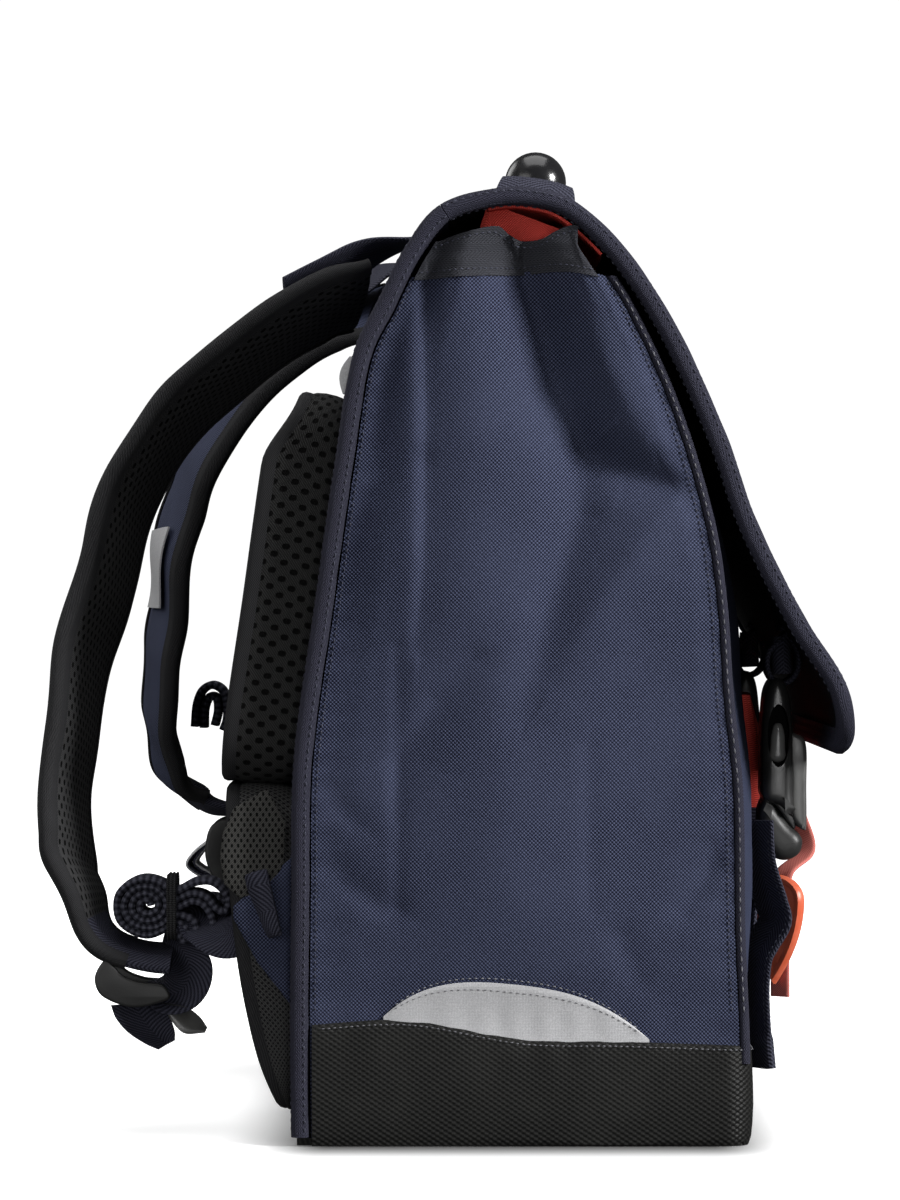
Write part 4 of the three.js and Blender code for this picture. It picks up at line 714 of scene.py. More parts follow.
def makeBase():
    path, back, front, sideX = bootPath()
    tangent = unit(np.gradient(path, axis=0))
    out = np.stack([tangent[:, 1], -tangent[:, 0]], -1)  # points away from the bag on this run
    if (out[0] * [-1, 0]).sum() < 0:
        out = -out
    share = np.clip((back - path[:, 1]) / (back - front), 0, 1)
    onSide = ease(np.abs(path[:, 0]), sideX - 0.012, sideX - 0.001)
    seamSide = tableAt(baseRows, share) * bag["baseRise"]
    seam = mix(baseRows[-1][1] * bag["baseRise"], seamSide, onSide)
    walk = walkAlong(path)
    lowEdge = 0.0012 + 0.0012 * np.sin(walk * 38 + 0.5)
    outer = []
    for proud, fixed, up in bootProfile:
        height = seam * up if fixed is None else fixed + lowEdge * (fixed > 0)
        ripple = 0.00022 * np.sin(walk * 310 + 2 * np.sin(walk * 71)) * max(0, up - 0.6) * 2.5
        outer.append(np.column_stack([path + out * (proud + ripple)[:, None], height]))
    outer = np.array(outer)
    inner = outer - np.column_stack([out, np.zeros(len(out))])[None] * boot["wall"]
    inner[:2, :, 2] += 0.0012
    uv = np.stack(np.broadcast_arrays(walk[None], outer[..., 2]), -1)
    patches = wallPatches(outer, inner, uv)
    a, b = lattice(40, 30)
    x = mix(-1, 1, a) * (sideX - 0.003)
    y = mix(front + 0.003, halfDeep * backRows[0][0] - 0.002, b)
    under = np.stack([x, y, np.full_like(x, 0.0001)], -1)
    over = under + np.array([0, 0, bag["baseWall"] - 0.0004])
    patches += wallPatches(over, under)
    piece = makePiece("coatedBoot", patches, [coatedBase])
    place(piece, "coated_cloth", "base")
    return path, out, seam


# Half-moon reflectors
moonSize = {"chord": 0.097, "rise": 0.019, "shift": -0.001, "thick": 0.0009}


def moonPoint(side, u, v, proud):
    chord, rise = moonSize["chord"], moonSize["rise"]
    radius = (chord ** 2 / 4 + rise ** 2) / (2 * rise)
    backY = backFace(bag["baseRise"], -0.0039)
    depthHere = backY - frontLine(bag["baseRise"]) - 0.0021
    offset = (u - 0.5) * chord
    share = (backY + moonSize["shift"] + offset) / depthHere
    seam = bag["baseRise"] * tableAt(baseRows, share) - 0.001
    arc = np.sqrt(np.maximum(radius ** 2 - offset ** 2, 0)) - (radius - rise)
    return sidePoint(side, share, mix(seam, seam + arc + 0.0022, v), proud)


def makeMoons():
    for word, side in sides.items():
        u, v = lattice(90, 24)
        rim = 0.0004 * (1 - ease(np.minimum(np.minimum(u, 1 - u) * 2, 1 - v), 0, 0.08))
        outer = moonPoint(side, u, v, 0.0004 + moonSize["thick"] - rim)
        inner = moonPoint(side, u, v, 0.0004)
        piece = makePiece(f"halfMoon_{word}", wallPatches(outer, inner, outer[..., 1:]), [reflectiveGrey])
        place(piece, "reflective_cloth", f"moon_{word}")


# Pads of the back: loops of a rounded rectangle, up the side wall and in over the crown
padSize = {"wide": 0.132, "inset": 0.008, "deep": 0.0275, "split": 0.131, "top": 0.273, "foot": 0.012, "corner": 0.016}
lumbarRows = [(0, 0.12), (0.16, 0.4), (0.35, 0.62), (0.51, 0.75), (0.7, 0.85), (1, 0.92)]
padLoops = [(0.0, 0.0), (-0.0004, 0.08), (-0.0010, 0.25), (-0.0013, 0.5), (-0.0010, 0.72), (-0.0002, 0.86),
            (0.0012, 0.945), (0.0030, 0.985), (0.0055, 1.0), (0.009, 1.008), (0.014, 1.017), (0.020, 1.026),
            (0.028, 1.035), (0.036, 1.04), (0.045, 1.045), (0.054, 1.048), (0.0600, 1.05)]

# Tape round the edge of a pad: outwards and up from the edge
edgeSection = [(0.0006, -0.0030), (0.0013, -0.0012), (0.0015, 0.0008), (0.0008, 0.0022), (-0.0008, 0.0030),
               (-0.0030, 0.0032), (-0.0032, 0.0020), (-0.0012, 0.0012), (-0.0006, -0.0026)]


def roundedLoop(halfX, halfY, radius, count):
    radius = max(min(radius, halfX - 1e-4, halfY - 1e-4), 1e-4)
    pieces = []
    for quarter, (sx, sy) in enumerate(((1, 1), (-1, 1), (-1, -1), (1, -1))):
        angle = np.linspace(0, math.pi / 2, 9) + quarter * math.pi / 2
        pieces.append(np.stack([sx * (halfX - radius) + radius * np.cos(angle),
                                sy * (halfY - radius) + radius * np.sin(angle)], -1))
    loop = np.vstack(pieces + [pieces[0][:1]])
    walk = walkAlong(loop)
    at = np.linspace(0, walk[-1], count, endpoint=False)
    return np.stack([np.interp(at, walk, loop[:, k]) for k in (0, 1)], -1)


def padFrame(side, lowest, highest):
    inner = halfWide - bag["tapeWide"] - padSize["inset"] + 0.002 - padSize["wide"]
    return side * (inner + padSize["wide"] / 2), alongAtHeight(lowest), alongAtHeight(highest)


def padThick(which, v):
    if which == "upper":
        return 1 - 0.4 * ease(v, 0.8, 1)
    return tableAt(lumbarRows, v)


def padPoint(which, side, loop, lift, low, high):
    middle, foot, head = padFrame(side, low, high)
    along = (foot + head) / 2 + loop[:, 1]
    share = np.clip((along - foot) / (head - foot), 0, 1)
    dip = 1 - 0.05 * np.exp(-(((share - 0.5) / 0.06) ** 2)) * (lift > 0.97) if which == "upper" else 1
    rise = padSize["deep"] * padThick(which, share) * lift * dip * 0.955
    return shellPoint(middle + loop[:, 0], along, panelFace + rise)


def makePads():
    for word, side in sides.items():
        for which, low, high in (("upper", padSize["split"] + 0.001, padSize["top"]),
                                 ("lower", padSize["foot"], padSize["split"] - 0.001)):
            foot, head = alongAtHeight(low), alongAtHeight(high)
            rings = []
            for inset, lift in padLoops:
                loop = roundedLoop(padSize["wide"] / 2 - inset, (head - foot) / 2 - inset,
                                   padSize["corner"] - inset, 168)
                rings.append(padPoint(which, side, loop, lift, low, high))
            rings = np.array(rings)
            hoops = np.concatenate([rings, rings[:, :1]], axis=1)
            uv = gridUv(hoops)
            patches = [(hoops[:8], uv[:8], 0), (hoops[7:], uv[7:], 1)]
            patches += endCaps(hoops, 1)
            piece = makePiece(f"{which}Pad_{word}", patches, [airMesh if which == "upper" else fineMesh, fineMesh], 60)
            place(piece, "air_mesh", f"{which}_pad_{word}")
            # tape bound round the edge of the pad
            edge = roundedLoop(padSize["wide"] / 2 - 0.0004, (head - foot) / 2 - 0.0004, padSize["corner"], 168)
            line = padPoint(which, side, edge, 0.93, low, high)
            inside = padPoint(which, side, edge * 0.96, 0.93, low, high)
            outward = unit(line - inside)
            up = unit(padPoint(which, side, edge, 1.03, low, high) - line)
            rings = np.stack([line + outward * a + up * b for a, b in edgeSection], 1)
            tape = makePiece(f"{which}PadTape_{word}", tubePatches(rings, True), [padTape])
            place(tape, "air_mesh")


# Mesh wings and the triangles that anchor the webbing: millimetres off the back and share of the height
wingShapes = {"wing": ([(10, 0.372), (22, 0.352), (26, 0.325), (27, 0.3), (25.5, 0.272), (20, 0.258), (10, 0.258),
                        (4, 0.28), (3, 0.335)], coarseMesh, "air_mesh"),
              "anchor": ([(0.5, 0.3), (13, 0.27), (22, 0.249), (22, 0.236), (13, 0.19), (0.5, 0.145)],
                         navyCloth, "navy_cloth")}
wingRings = [(0.0, 0.0), (0.7, 0.0), (0.94, 0.0), (1.0, 0.0006), (1.0, 0.0019), (0.94, 0.0025), (0.7, 0.0028),
             (0.35, 0.003), (0.0, 0.003)]


def makeWings():
    for word, side in sides.items():
        for node, (rows, finish, slotName) in wingShapes.items():
            heights = np.array([u for o, u in rows]) * tall
            ys = backFace(heights, panelFace) + np.array([o for o, u in rows]) * 0.001
            loop = np.stack([ys, heights], -1)
            dense = np.vstack([mix(loop[i], loop[(i + 1) % len(loop)], t) for i in range(len(loop))
                               for t in np.linspace(0, 1, 10, endpoint=False)])
            centre = dense.mean(0)
            near = halfWide - bag["tapeWide"] - 0.006 + 0.0005
            rings = []
            for shrink, x in wingRings:
                flatLoop = centre + (dense - centre) * max(shrink, 1e-4)
                rings.append(np.column_stack([np.full(len(dense), side * (near + x)), flatLoop]))
            rings = np.array(rings)
            grid = np.concatenate([rings, rings[:, :1]], 1)
            piece = makePiece(f"{node}Cloth_{word}", [(grid, grid[..., 1:])], [finish], 50)
            place(piece, slotName, f"{node}_{word}")


# Strips along a line: flat is the direction of the width, face the one of the thickness
def runAlong(points, perSpan, widthWay=(1.0, 0.0, 0.0), turn=0.0):
    line = curveThrough(points, perSpan)
    tangent = unit(np.gradient(line, axis=0))
    way = np.broadcast_to(np.asarray(widthWay, float), line.shape)
    flat = unit(way - tangent * (way * tangent).sum(-1, keepdims=True))
    angle = np.radians(np.broadcast_to(turn, (len(line),)))[:, None]
    flat = flat * np.cos(angle) + np.cross(tangent, flat) * np.sin(angle)
    return line, flat, np.cross(tangent, flat)


def ribbonSection(count=10, power=10):
    a = -np.cos(np.linspace(0, math.pi, count))
    b = (1 - np.abs(a) ** power) ** 0.5 * 0.86 + 0.14
    return np.vstack([np.stack([a, b], -1), np.stack([a[::-1], -b[::-1]], -1)])


def stripRings(line, flat, face, section, wide, thick):
    wide = np.broadcast_to(wide, (len(line),))[:, None, None]
    thick = np.broadcast_to(thick, (len(line),))[:, None, None]
    across, through = section[None, :, :1], section[None, :, 1:]
    return line[:, None] + flat[:, None] * across * wide / 2 + face[:, None] * through * thick / 2


def ribbonPatches(run, wide, thick, count=10):
    return tubePatches(stripRings(*run, ribbonSection(count), wide, thick))


strap = {"wide": 0.062, "thick": 0.011, "webbing": 0.025, "webThick": 0.0022, "load": 0.0375,
         "reach": {"left": 0.088, "right": 0.069}}
# Off the bag, up, out from the middle, width, thickness and turn of each station
strapRows = {
    "left": [(0.15, 0.906, 0.34, 0.98, 0.8, 19), (0.28, 0.894, 0.36, 1, 1, 17), (0.45, 0.858, 0.39, 1, 1.1, 16),
             (0.72, 0.78, 0.43, 1, 1.1, 15), (0.88, 0.7, 0.48, 1, 1.1, 14), (0.955, 0.6, 0.53, 0.98, 1.15, 14),
             (0.985, 0.5, 0.58, 0.96, 1.05, 14), (1, 0.4, 0.63, 0.92, 1, 12), (0.985, 0.31, 0.67, 0.85, 1, 12),
             (0.95, 0.275, 0.69, 0.76, 0.95, 11), (0.87, 0.225, 0.7, 0.66, 0.85, 9), (0.72, 0.191, 0.7, 0.58, 0.78, 9),
             (0.53, 0.186, 0.7, 0.54, 0.72, 12)],
    "right": [(0.13, 0.908, 0.34, 0.98, 0.8, 19), (0.3, 0.895, 0.36, 1, 1, 17), (0.56, 0.855, 0.39, 1, 1.1, 16),
              (0.86, 0.76, 0.43, 1, 1.1, 15), (0.98, 0.68, 0.48, 1, 1.1, 14), (1, 0.585, 0.53, 0.98, 1.1, 12),
              (0.99, 0.5, 0.58, 0.96, 1.05, 12), (0.96, 0.42, 0.63, 0.92, 1, 11), (0.88, 0.365, 0.67, 0.8, 0.95, 9),
              (0.72, 0.33, 0.7, 0.66, 0.8, 8), (0.52, 0.315, 0.7, 0.56, 0.5, 6)]}
# The webbing of the left strap: share of half the width, depth and height in millimetres, and lean in degrees
hankRun = [(0.7, 140.0, 54.6, 0), (0.7, 132.7, 52.2, 34), (0.7, 126.0, 55.0, 50), (0.7, 124.0, 61.0, 54),
           (0.7, 125.6, 66.5, 44), (0.7, 127.8, 71.1, 26), (0.7, 126.6, 76.4, 18), (0.705, 122.2, 80.6, 18),
           (0.73, 115.6, 78.7, 34), (0.81, 107.0, 77.7, 44), (0.89, 99.5, 83.9, 66), (0.945, 93.8, 87.8, 85),
           (0.95, 89.6, 88.8, 90)]
# The webbing of the right strap: off the bag, up, out from the middle, and the direction of its width
webRows = [(0.43, 0.208, 0.7, (1, 0, 0)), (0.41, 0.192, 0.71, (1, 0, 0.1)), (0.41, 0.187, 0.75, (0.76, 0, 0.64)),
           (0.42, 0.205, 0.83, (0.24, 0, 0.97)), (0.4, 0.228, 0.91, (0, 0, 1)), (0.32, 0.24, 0.945, (0, 0, 1)),
           (0.17, 0.242, 0.945, (0, 0, 1))]


def stationsBehind(rows, side, reach):
    return [(side * r[2] * halfWide, backFace(r[1] * tall, bag["board"] / 2) + r[0] * reach, r[1] * tall)
            for r in rows]


def strapRun(word, perSpan=14):
    rows, side = strapRows[word], sides[word]
    share = np.linspace(0, 1, len(rows))
    fine = np.linspace(0, 1, (len(rows) - 1) * perSpan + 1)
    turn = -side * smoothColumn(share, [r[5] for r in rows], fine)
    line, flat, face = runAlong(stationsBehind(rows, side, strap["reach"][word]), perSpan, turn=turn)
    wide = strap["wide"] * smoothColumn(share, [r[3] for r in rows], fine)
    wide = wide * (1 + 0.045 * np.sin(fine * 31 + side) * np.sin(fine * 11.5 + 0.6))
    line = line + face * (0.0013 * np.sin(fine * 43 + side) * np.sin(fine * 9 + 0.4) * ease(fine, 0.12, 0.3))[:, None]
    thick = strap["thick"] * smoothColumn(share, [r[4] for r in rows], fine)
    return line, flat, face, wide, thick


# Section of a padded strap; above 0 is the face towards the wearer
padSection = np.array([(-1, 0), (-0.99, 0.22), (-0.96, 0.36), (-0.88, 0.44), (-0.78, 0.62), (-0.6, 0.86),
                       (-0.3, 0.98), (0, 1.0), (0.3, 0.98), (0.6, 0.86), (0.78, 0.62), (0.88, 0.44), (0.96, 0.36),
                       (0.99, 0.22), (1, 0), (0.99, -0.22), (0.96, -0.36), (0.88, -0.5), (0.6, -0.76),
                       (0.3, -0.84), (0, -0.86), (-0.3, -0.84), (-0.6, -0.76), (-0.88, -0.5), (-0.96, -0.36),
                       (-0.99, -0.22)])

# Tape curled round one edge of a strap
curlSection = np.array([(1.0, -0.2), (1.012, 0.0), (1.0, 0.2), (0.97, 0.38), (0.93, 0.45), (0.88, 0.52), (0.85, 0.6),
                        (0.84, 0.5), (0.92, 0.3), (0.96, 0.0), (0.92, -0.3), (0.84, -0.52), (0.85, -0.64),
                        (0.88, -0.56), (0.93, -0.49), (0.97, -0.4)])


def clampBehind(rings, rows, lift):
    keep = rings[:rows]
    keep[..., 1] = np.maximum(keep[..., 1], backFace(keep[..., 2], lift))
    return rings


def makeStraps():
    for word in sides:
        line, flat, face, wide, thick = strapRun(word)
        walk = walkAlong(line)
        crinkle = 1 + 0.03 * np.sin(walk * 190) * np.sin(walk * 43 + 1)
        rings = stripRings(line, flat, face, padSection, wide, thick * crinkle)
        rings = clampBehind(rings, len(line) // 6, panelFace + 0.0006)
        outerFace = [1 if (padSection[i, 1] + padSection[(i + 1) % len(padSection), 1]) < -0.5 else 0
                     for i in range(len(padSection))]
        cut = len(line) * 10 // 12  # below this the strap narrows into plain ribbed cloth
        patches = tubePatches(rings[:cut], slotOf=outerFace)[:-2]
        patches += tubePatches(rings[cut - 1:], slotOf=[2] * len(padSection))[:-2]
        patches += endCaps(np.concatenate([rings, rings[:, :1]], axis=1), 2)
        piece = makePiece(f"strapPad_{word}", patches, [strapMesh, navyCloth, webbingCloth], 60)
        place(piece, "air_mesh", f"strap_{word}")
        patches = []
        for edge in (-1, 1):
            tape = stripRings(line, flat, face, curlSection * [edge, 1], wide + 0.0006,
                              thick * crinkle * 1.04 + 0.0012)
            tape = clampBehind(tape, len(line) // 6, panelFace + 0.0004)
            patches += tubePatches(tape[:len(line) * 12 // 13])
        tapes = makePiece(f"strapTape_{word}", patches, [padTape], 60)
        place(tapes, "air_mesh")


def leaningRun():
    line = curveThrough([(-share * halfWide, y / 1000, z / 1000) for share, y, z, lean in hankRun], 12)
    tangent = unit(np.gradient(line, axis=0))
    steps = np.linspace(0, 1, len(line))
    lean = np.radians(smoothColumn(np.linspace(0, 1, len(hankRun)), [r[3] for r in hankRun], steps))[:, None]
    out = np.array([1.0, 0, 0]) - tangent * tangent[:, :1]
    flat = unit(unit(out) * np.cos(lean) + np.cross(tangent, unit(out)) * np.sin(lean))
    return line, flat, np.cross(tangent, flat)


def makeWebbing():
    share = np.linspace(0, 1, len(webRows))
    fine = np.linspace(0, 1, (len(webRows) - 1) * 12 + 1)
    ways = [smoothColumn(share, [r[3][k] for r in webRows], fine) for k in range(3)]
    way = unit(np.stack(ways, -1)) * [-1, 1, 1]
    hanging = runAlong(stationsBehind(webRows, 1, strap["reach"]["right"]), 12, way)
    for word, run in (("left", leaningRun()), ("right", hanging)):
        patches = ribbonPatches(run, strap["webbing"], strap["webThick"])
        piece = makePiece(f"strapWebbing_{word}", patches, [webbingCloth], 50)
        place(piece, "webbing", f"strap_webbing_{word}")


def makeStrapLoads():
    for word, side in sides.items():
        rows = strapRows[word]
        second, third = [np.array(p) for p in stationsBehind(rows, side, strap["reach"][word])[1:3]]
        rise = strap["thick"] / 2 + strap["webThick"] / 2 + 0.0034
        root = shellPoint(side * rows[0][2] * halfWide, shellSeam - 0.0075, panelFace + strap["webThick"] * 0.78)
        sewn = mix(third, second, 0.55) + [0, rise * 0.6, rise * 0.95]
        over = second + [0, rise * 0.1, rise * 1.15]
        halfway = mix(root, over, 0.5) + [0, 0, strap["webThick"]]
        fine = np.linspace(0, 1, 3 * 14 + 1)
        run = runAlong([root, halfway, over, sewn], 14, turn=-side * rows[1][5] * ease(fine, 0, 0.5))
        patches = ribbonPatches(run, strap["load"], strap["webThick"])
        piece = makePiece(f"strapLoad_{word}", patches, [webbingCloth], 50)
        place(piece, "navy_cloth", f"strap_load_{word}")


def makePatches():
    for word in sides:
        line, flat, face, wide, thick = strapRun(word, 20)
        u, v = lattice(16, 24)
        share = mix(0.43, 0.53, v) + (u - 0.5) * 0.03
        at = share * (len(line) - 1)
        steps = np.arange(len(line))
        middle, across, away = [np.stack([np.interp(at, steps, values[:, k]) for k in range(3)], -1)
                                for values in (line, flat, face)]
        halfHere, thickHere = np.interp(at, steps, wide) / 2, np.interp(at, steps, thick) / 2
        a = mix(-0.5, 0.5, u)
        belly = smoothColumn([0, 0.3, 0.6, 0.88, 1], [1, 0.98, 0.93, 0.72, 0.5], np.abs(a))
        faces = [middle + across * (a * halfHere)[..., None] - away * (thickHere * 1.03 * belly + lift)[..., None]
                 for lift in (0.0013, 0.0006)]
        piece = makePiece(f"strapPatch_{word}", wallPatches(*faces), [reflectiveGrey])
        place(piece, "reflective_cloth", f"strap_patch_{word}")


makeBackPanel()
makeLid()
makeBindings()
makeFacing()
makeSidePanels()
makeTopBands()
makeFrontTapes()
makeFrontPanel()
bootLines = makeBase()
makeMoons()
print("walls made")
makePads()
makeWings()
makeStraps()
makeWebbing()
makeStrapLoads()
makePatches()
print("pads and straps made")

# Moulded parts: smooth closed outlines in depth and height, drawn out across the bag
mouldedSharp = 34  # degrees at which an edge of a moulded part is drawn sharp


def closedOutline(points, perSpan=6):
    p = np.array(points, float)
    ring = curveThrough(np.vstack([p[-1:], p, p[:2]]), perSpan)
    return ring[perSpan:perSpan * (1 + len(p))]


def drawnOut(name, outline, middleX, wide, bevel, finish, perSpan=6):
    ring = closedOutline(outline, perSpan)
    data = bpy.data.curves.new(name, "CURVE")
    data.dimensions = "2D"
    data.fill_mode = "BOTH"
    data.extrude, data.bevel_depth, data.bevel_resolution, data.offset = wide / 2 - bevel, bevel, 3, -bevel
    spline = data.splines.new("POLY")
    spline.points.add(len(ring) - 1)
    spline.points.foreach_set("co", np.column_stack([ring, np.zeros(len(ring)), np.ones(len(ring))]).ravel())
    spline.use_cyclic_u = True
    maker = linkNew(name, data)
    mesh = bpy.data.meshes.new_from_object(maker.evaluated_get(bpy.context.evaluated_depsgraph_get()))
    bpy.data.objects.remove(maker)
    mesh.transform(Matrix(((0, 0, 1, middleX), (1, 0, 0, 0), (0, 1, 0, 0), (0, 0, 0, 1))))
    weldAndShade(mesh, 4e-6, mouldedSharp)
    mesh.polygons.foreach_set("material_index", [0] * len(mesh.polygons))
    mesh.materials.clear()
    mesh.materials.append(finish)
    return linkNew(name, mesh)


def joined(name, pieces):
    work, finishes = bmesh.new(), []
    for piece in pieces:
        start = len(work.faces)
        work.from_mesh(piece.data)
        work.faces.ensure_lookup_table()
        finish = piece.data.materials[0]
        if finish not in finishes:
            finishes.append(finish)
        for i in range(start, len(work.faces)):
            work.faces[i].material_index = finishes.index(finish)
    mesh = bpy.data.meshes.new(name)
    work.to_mesh(mesh)
    work.free()
    for finish in finishes:
        mesh.materials.append(finish)
    for piece in pieces:
        bpy.data.objects.remove(piece)
    return linkNew(name, mesh)


def strip(name, points, wide, thick, finish, perSpan=12, way=(1.0, 0.0, 0.0), turn=0.0):
    run = runAlong(points, perSpan, way, turn)
    thick = thick(np.linspace(0, 1, len(run[0]))) if callable(thick) else thick
    return makePiece(name, ribbonPatches(run, wide, thick), [finish], 50), *run


# Grip on top: a moulded bar with domed ends, held by two sewn webbing tabs
grip = {"depth": -0.006, "lift": 0.0164, "radius": 0.012, "long": 0.104, "dome": 0.0096, "waist": 0.94,
        "tabHalf": 0.0135}


def makeGrip():
    centre = shellPoint(0.0, alongAtDepth(grip["depth"]), grip["lift"])
    angle = np.linspace(0.02, math.pi / 2, 16)
    xs = np.r_[-grip["long"] / 2 + grip["dome"] * (1 - np.cos(angle)), np.linspace(-0.0415, 0, 46)]
    waist = mix(grip["waist"], 1.0, ease(-xs[16:], 0.012, 0.036))
    groove = 1 - 0.03 * np.exp(-((xs[16:] + 0.0395) / 0.0007) ** 2)
    rs = np.r_[grip["radius"] * np.sin(angle), grip["radius"] * waist * groove]
    xs, rs = np.r_[xs, -xs[-2::-1]], np.r_[rs, rs[-2::-1]]
    around = np.linspace(0, 2 * math.pi, 41)[:-1]
    rings = np.stack(np.broadcast_arrays(xs[:, None], centre[1] + rs[:, None] * np.cos(around)[None],
                                         centre[2] + rs[:, None] * np.sin(around)[None]), -1)
    place(makePiece("topGrip", tubePatches(rings), [gripRubber], 60), "black_plastic", "grip")
    for word, side in sides.items():
        u, v = lattice(40, 12)
        x = side * mix(0.084, 0.0523, u)
        half = grip["tabHalf"] * mix(1, 0.72, ease(u, 0.45, 1))
        along = alongAtDepth(grip["depth"]) + (2 * v - 1) * half
        rise = 0.0023 + ease(u, 0.3, 1) * (grip["lift"] - 0.0034)
        faces = [shellPoint(x, along, rise + more) for more in (strap["webThick"], 0.0)]
        piece = makePiece(f"gripTab_{word}", wallPatches(faces[0], faces[1], np.stack([along, x], -1)),
                          [webbingCloth], 50)
        place(piece, "webbing", f"handle_tab_{word}")


# Snap buckle: a share of its depth and of its height give each outline point
buckle = {"front": 0.091, "deep": 0.018, "foot": 0.1015, "tall": 0.068, "across": 0.11001, "wide": 0.036}
housingRows = [(0.12, 0.34), (0.08, 0.5), (0.08, 0.66), (0.11, 0.82), (0.18, 0.95), (0.3, 1), (0.48, 1), (0.6, 0.95),
               (0.69, 0.8), (0.72, 0.62), (0.72, 0.4), (0.7, 0.24), (0.45, 0.3)]
plateRows = [(0.66, 0.70), (0.78, 0.70), (0.92, 0.68), (0.99, 0.64), (1.0, 0.4), (1.0, 0.2), (0.98, 0.165),
             (0.90, 0.17), (0.70, 0.235), (0.66, 0.45)]
leverRows = [(0.25, 0.56), (0.25, 0.63), (0.28, 0.71), (0.35, 0.755), (0.47, 0.755), (0.54, 0.71), (0.56, 0.63),
             (0.55, 0.56), (0.41, 0.54)]
catchRows = [(0.02, 0.2), (0.05, 0.29), (0.14, 0.335), (0.26, 0.32), (0.46, 0.255), (0.66, 0.19), (0.85, 0.145),
             (0.92, 0.1), (0.84, 0.035), (0.6, 0.0), (0.35, 0.01), (0.12, 0.08)]
prongRows = [(0.14, 0.3), (0.3, 0.31), (0.52, 0.24), (0.74, 0.17), (0.8, 0.24), (0.72, 0.34), (0.4, 0.42),
             (0.18, 0.42)]

# Loose end of the webbing below the catch; its foot is doubled over
tailSize = {"out": 0.136, "wide": 0.024, "seam": 0.0100, "turn": (30, 19)}
tailRows = [(1.06, 0.334), (1.075, 0.289), (1.13, 0.247), (1.15, 0.228), (1.1, 0.205), (1.072, 0.190), (1.06, 0.16),
            (1.07, 0.106), (1.085, 0.07)]


def tailThickness(share):
    return strap["webThick"] * mix(1, 1.9, ease(share, 0.86, 0.9))


def buckleOutline(rows):
    return [(-(buckle["front"] + a * buckle["deep"]), buckle["foot"] + b * buckle["tall"]) for a, b in rows]


def makeBuckles():
    for word, side in sides.items():
        x = side * buckle["across"]
        housing = drawnOut("housingBody", buckleOutline(housingRows), x, buckle["wide"], 0.0034, blackPlastic)
        window = [(0.41 + 0.23 * math.cos(a), 0.69 + 0.175 * math.sin(a))
                  for a in np.linspace(0, 2 * math.pi, 13)[:-1]]
        cutter = drawnOut("windowCut", buckleOutline(window), x, buckle["wide"] + 0.004, 0.0002, windowShadeBlack)
        cut = housing.modifiers.new("window", "BOOLEAN")
        cut.operation, cut.solver, cut.object = "DIFFERENCE", "EXACT", cutter
        mesh = bpy.data.meshes.new_from_object(housing.evaluated_get(bpy.context.evaluated_depsgraph_get()))
        housing.modifiers.clear()
        housing.data = mesh
        bpy.data.objects.remove(cutter)
        # A near-black block inside the window paints the shade of the window's interior
        core = drawnOut("windowShadeCore", buckleOutline(window), x, buckle["wide"] - 0.013, 0.0002, windowShadeBlack)
        housing.data.set_sharp_from_angle(angle=math.radians(mouldedSharp))
        # Painted highlights: the plate is coloured pale grey and the lever light grey in place of the glints on the
        # black plastic
        plate = drawnOut("housingPlate", buckleOutline(plateRows), x, buckle["wide"] - 0.004, 0.0016, paleGreyPlastic)
        levers = drawnOut("housingLever", buckleOutline(leverRows), x, buckle["wide"] - 0.0054, 0.0022, leverHighlightGrey)
        place(joined(f"buckleHousing_{word}", [housing, plate, core, levers]), "black_plastic",
              f"buckle_housing_{word}")
        knob = drawnOut("catchBody", buckleOutline(catchRows), x, buckle["wide"] - 0.0012, 0.0042, adjusterPlastic)
        prong = drawnOut("catchProng", buckleOutline(prongRows), x, buckle["wide"] - 0.006, 0.0010, blackPlastic)
        place(joined(f"buckleCatch_{word}", [knob, prong]), "black_plastic", f"buckle_catch_{word}")
        # webbing from under the lid, round the bar of the housing
        top = shellPoint(x, alongAtDepth(-0.10216), -0.0035)
        points = [top, (x, -0.1035, 0.1885), (x, -0.0995, 0.1842), (x, -0.0952, 0.1795), (x, -0.0950, 0.1725),
                  (x, -0.0985, 0.1680), (x, -0.1032, 0.1690), (x, -0.1062, 0.1735), (x, -0.1060, 0.1800),
                  (x, -0.1035, 0.1848)]
        run = runAlong(points, 12)
        patches = ribbonPatches(run, strap["webbing"], strap["webThick"])
        inside = runAlong([(x, -0.1004, 0.1856), (x, -0.1000, 0.1800), (x, -0.1004, 0.1715)], 10)
        patches += tubePatches(stripRings(*inside, ribbonSection(10, 4), 0.0245, 0.0078))
        hanger = makePiece(f"buckleHanger_{word}", patches, [webbingCloth], 50)
        place(hanger, "webbing", f"buckle_hanger_{word}")
        # webbing that holds the catch to the front, and its loose end
        points = [(x, -0.0888, 0.1083)] + [tuple(frontPoint(x, up * tall, 0.0017)) for up in (0.27, 0.22, 0.16, 0.14)]
        hold, line = strip(f"buckleStrap_{word}", points, strap["webbing"], strap["webThick"], webbingCloth)[:2]
        place(hold, "webbing", f"buckle_strap_{word}")
        points = [(side * tailSize["out"], -f * halfDeep, u * tall) for f, u in tailRows]
        tail, line, flat, face = strip(f"buckleTail_{word}", points, tailSize["wide"], tailThickness, webbingCloth,
                                       turn=side * np.linspace(*tailSize["turn"], 97))
        place(tail, "webbing", f"buckle_tail_{word}")
        for edge in (-1, 1):
            for through in (-1, 1):
                seam = line + flat * edge * tailSize["seam"] + through * side * face * 0.0012
                stitchLines["webbing"].append(seam[6:-2])


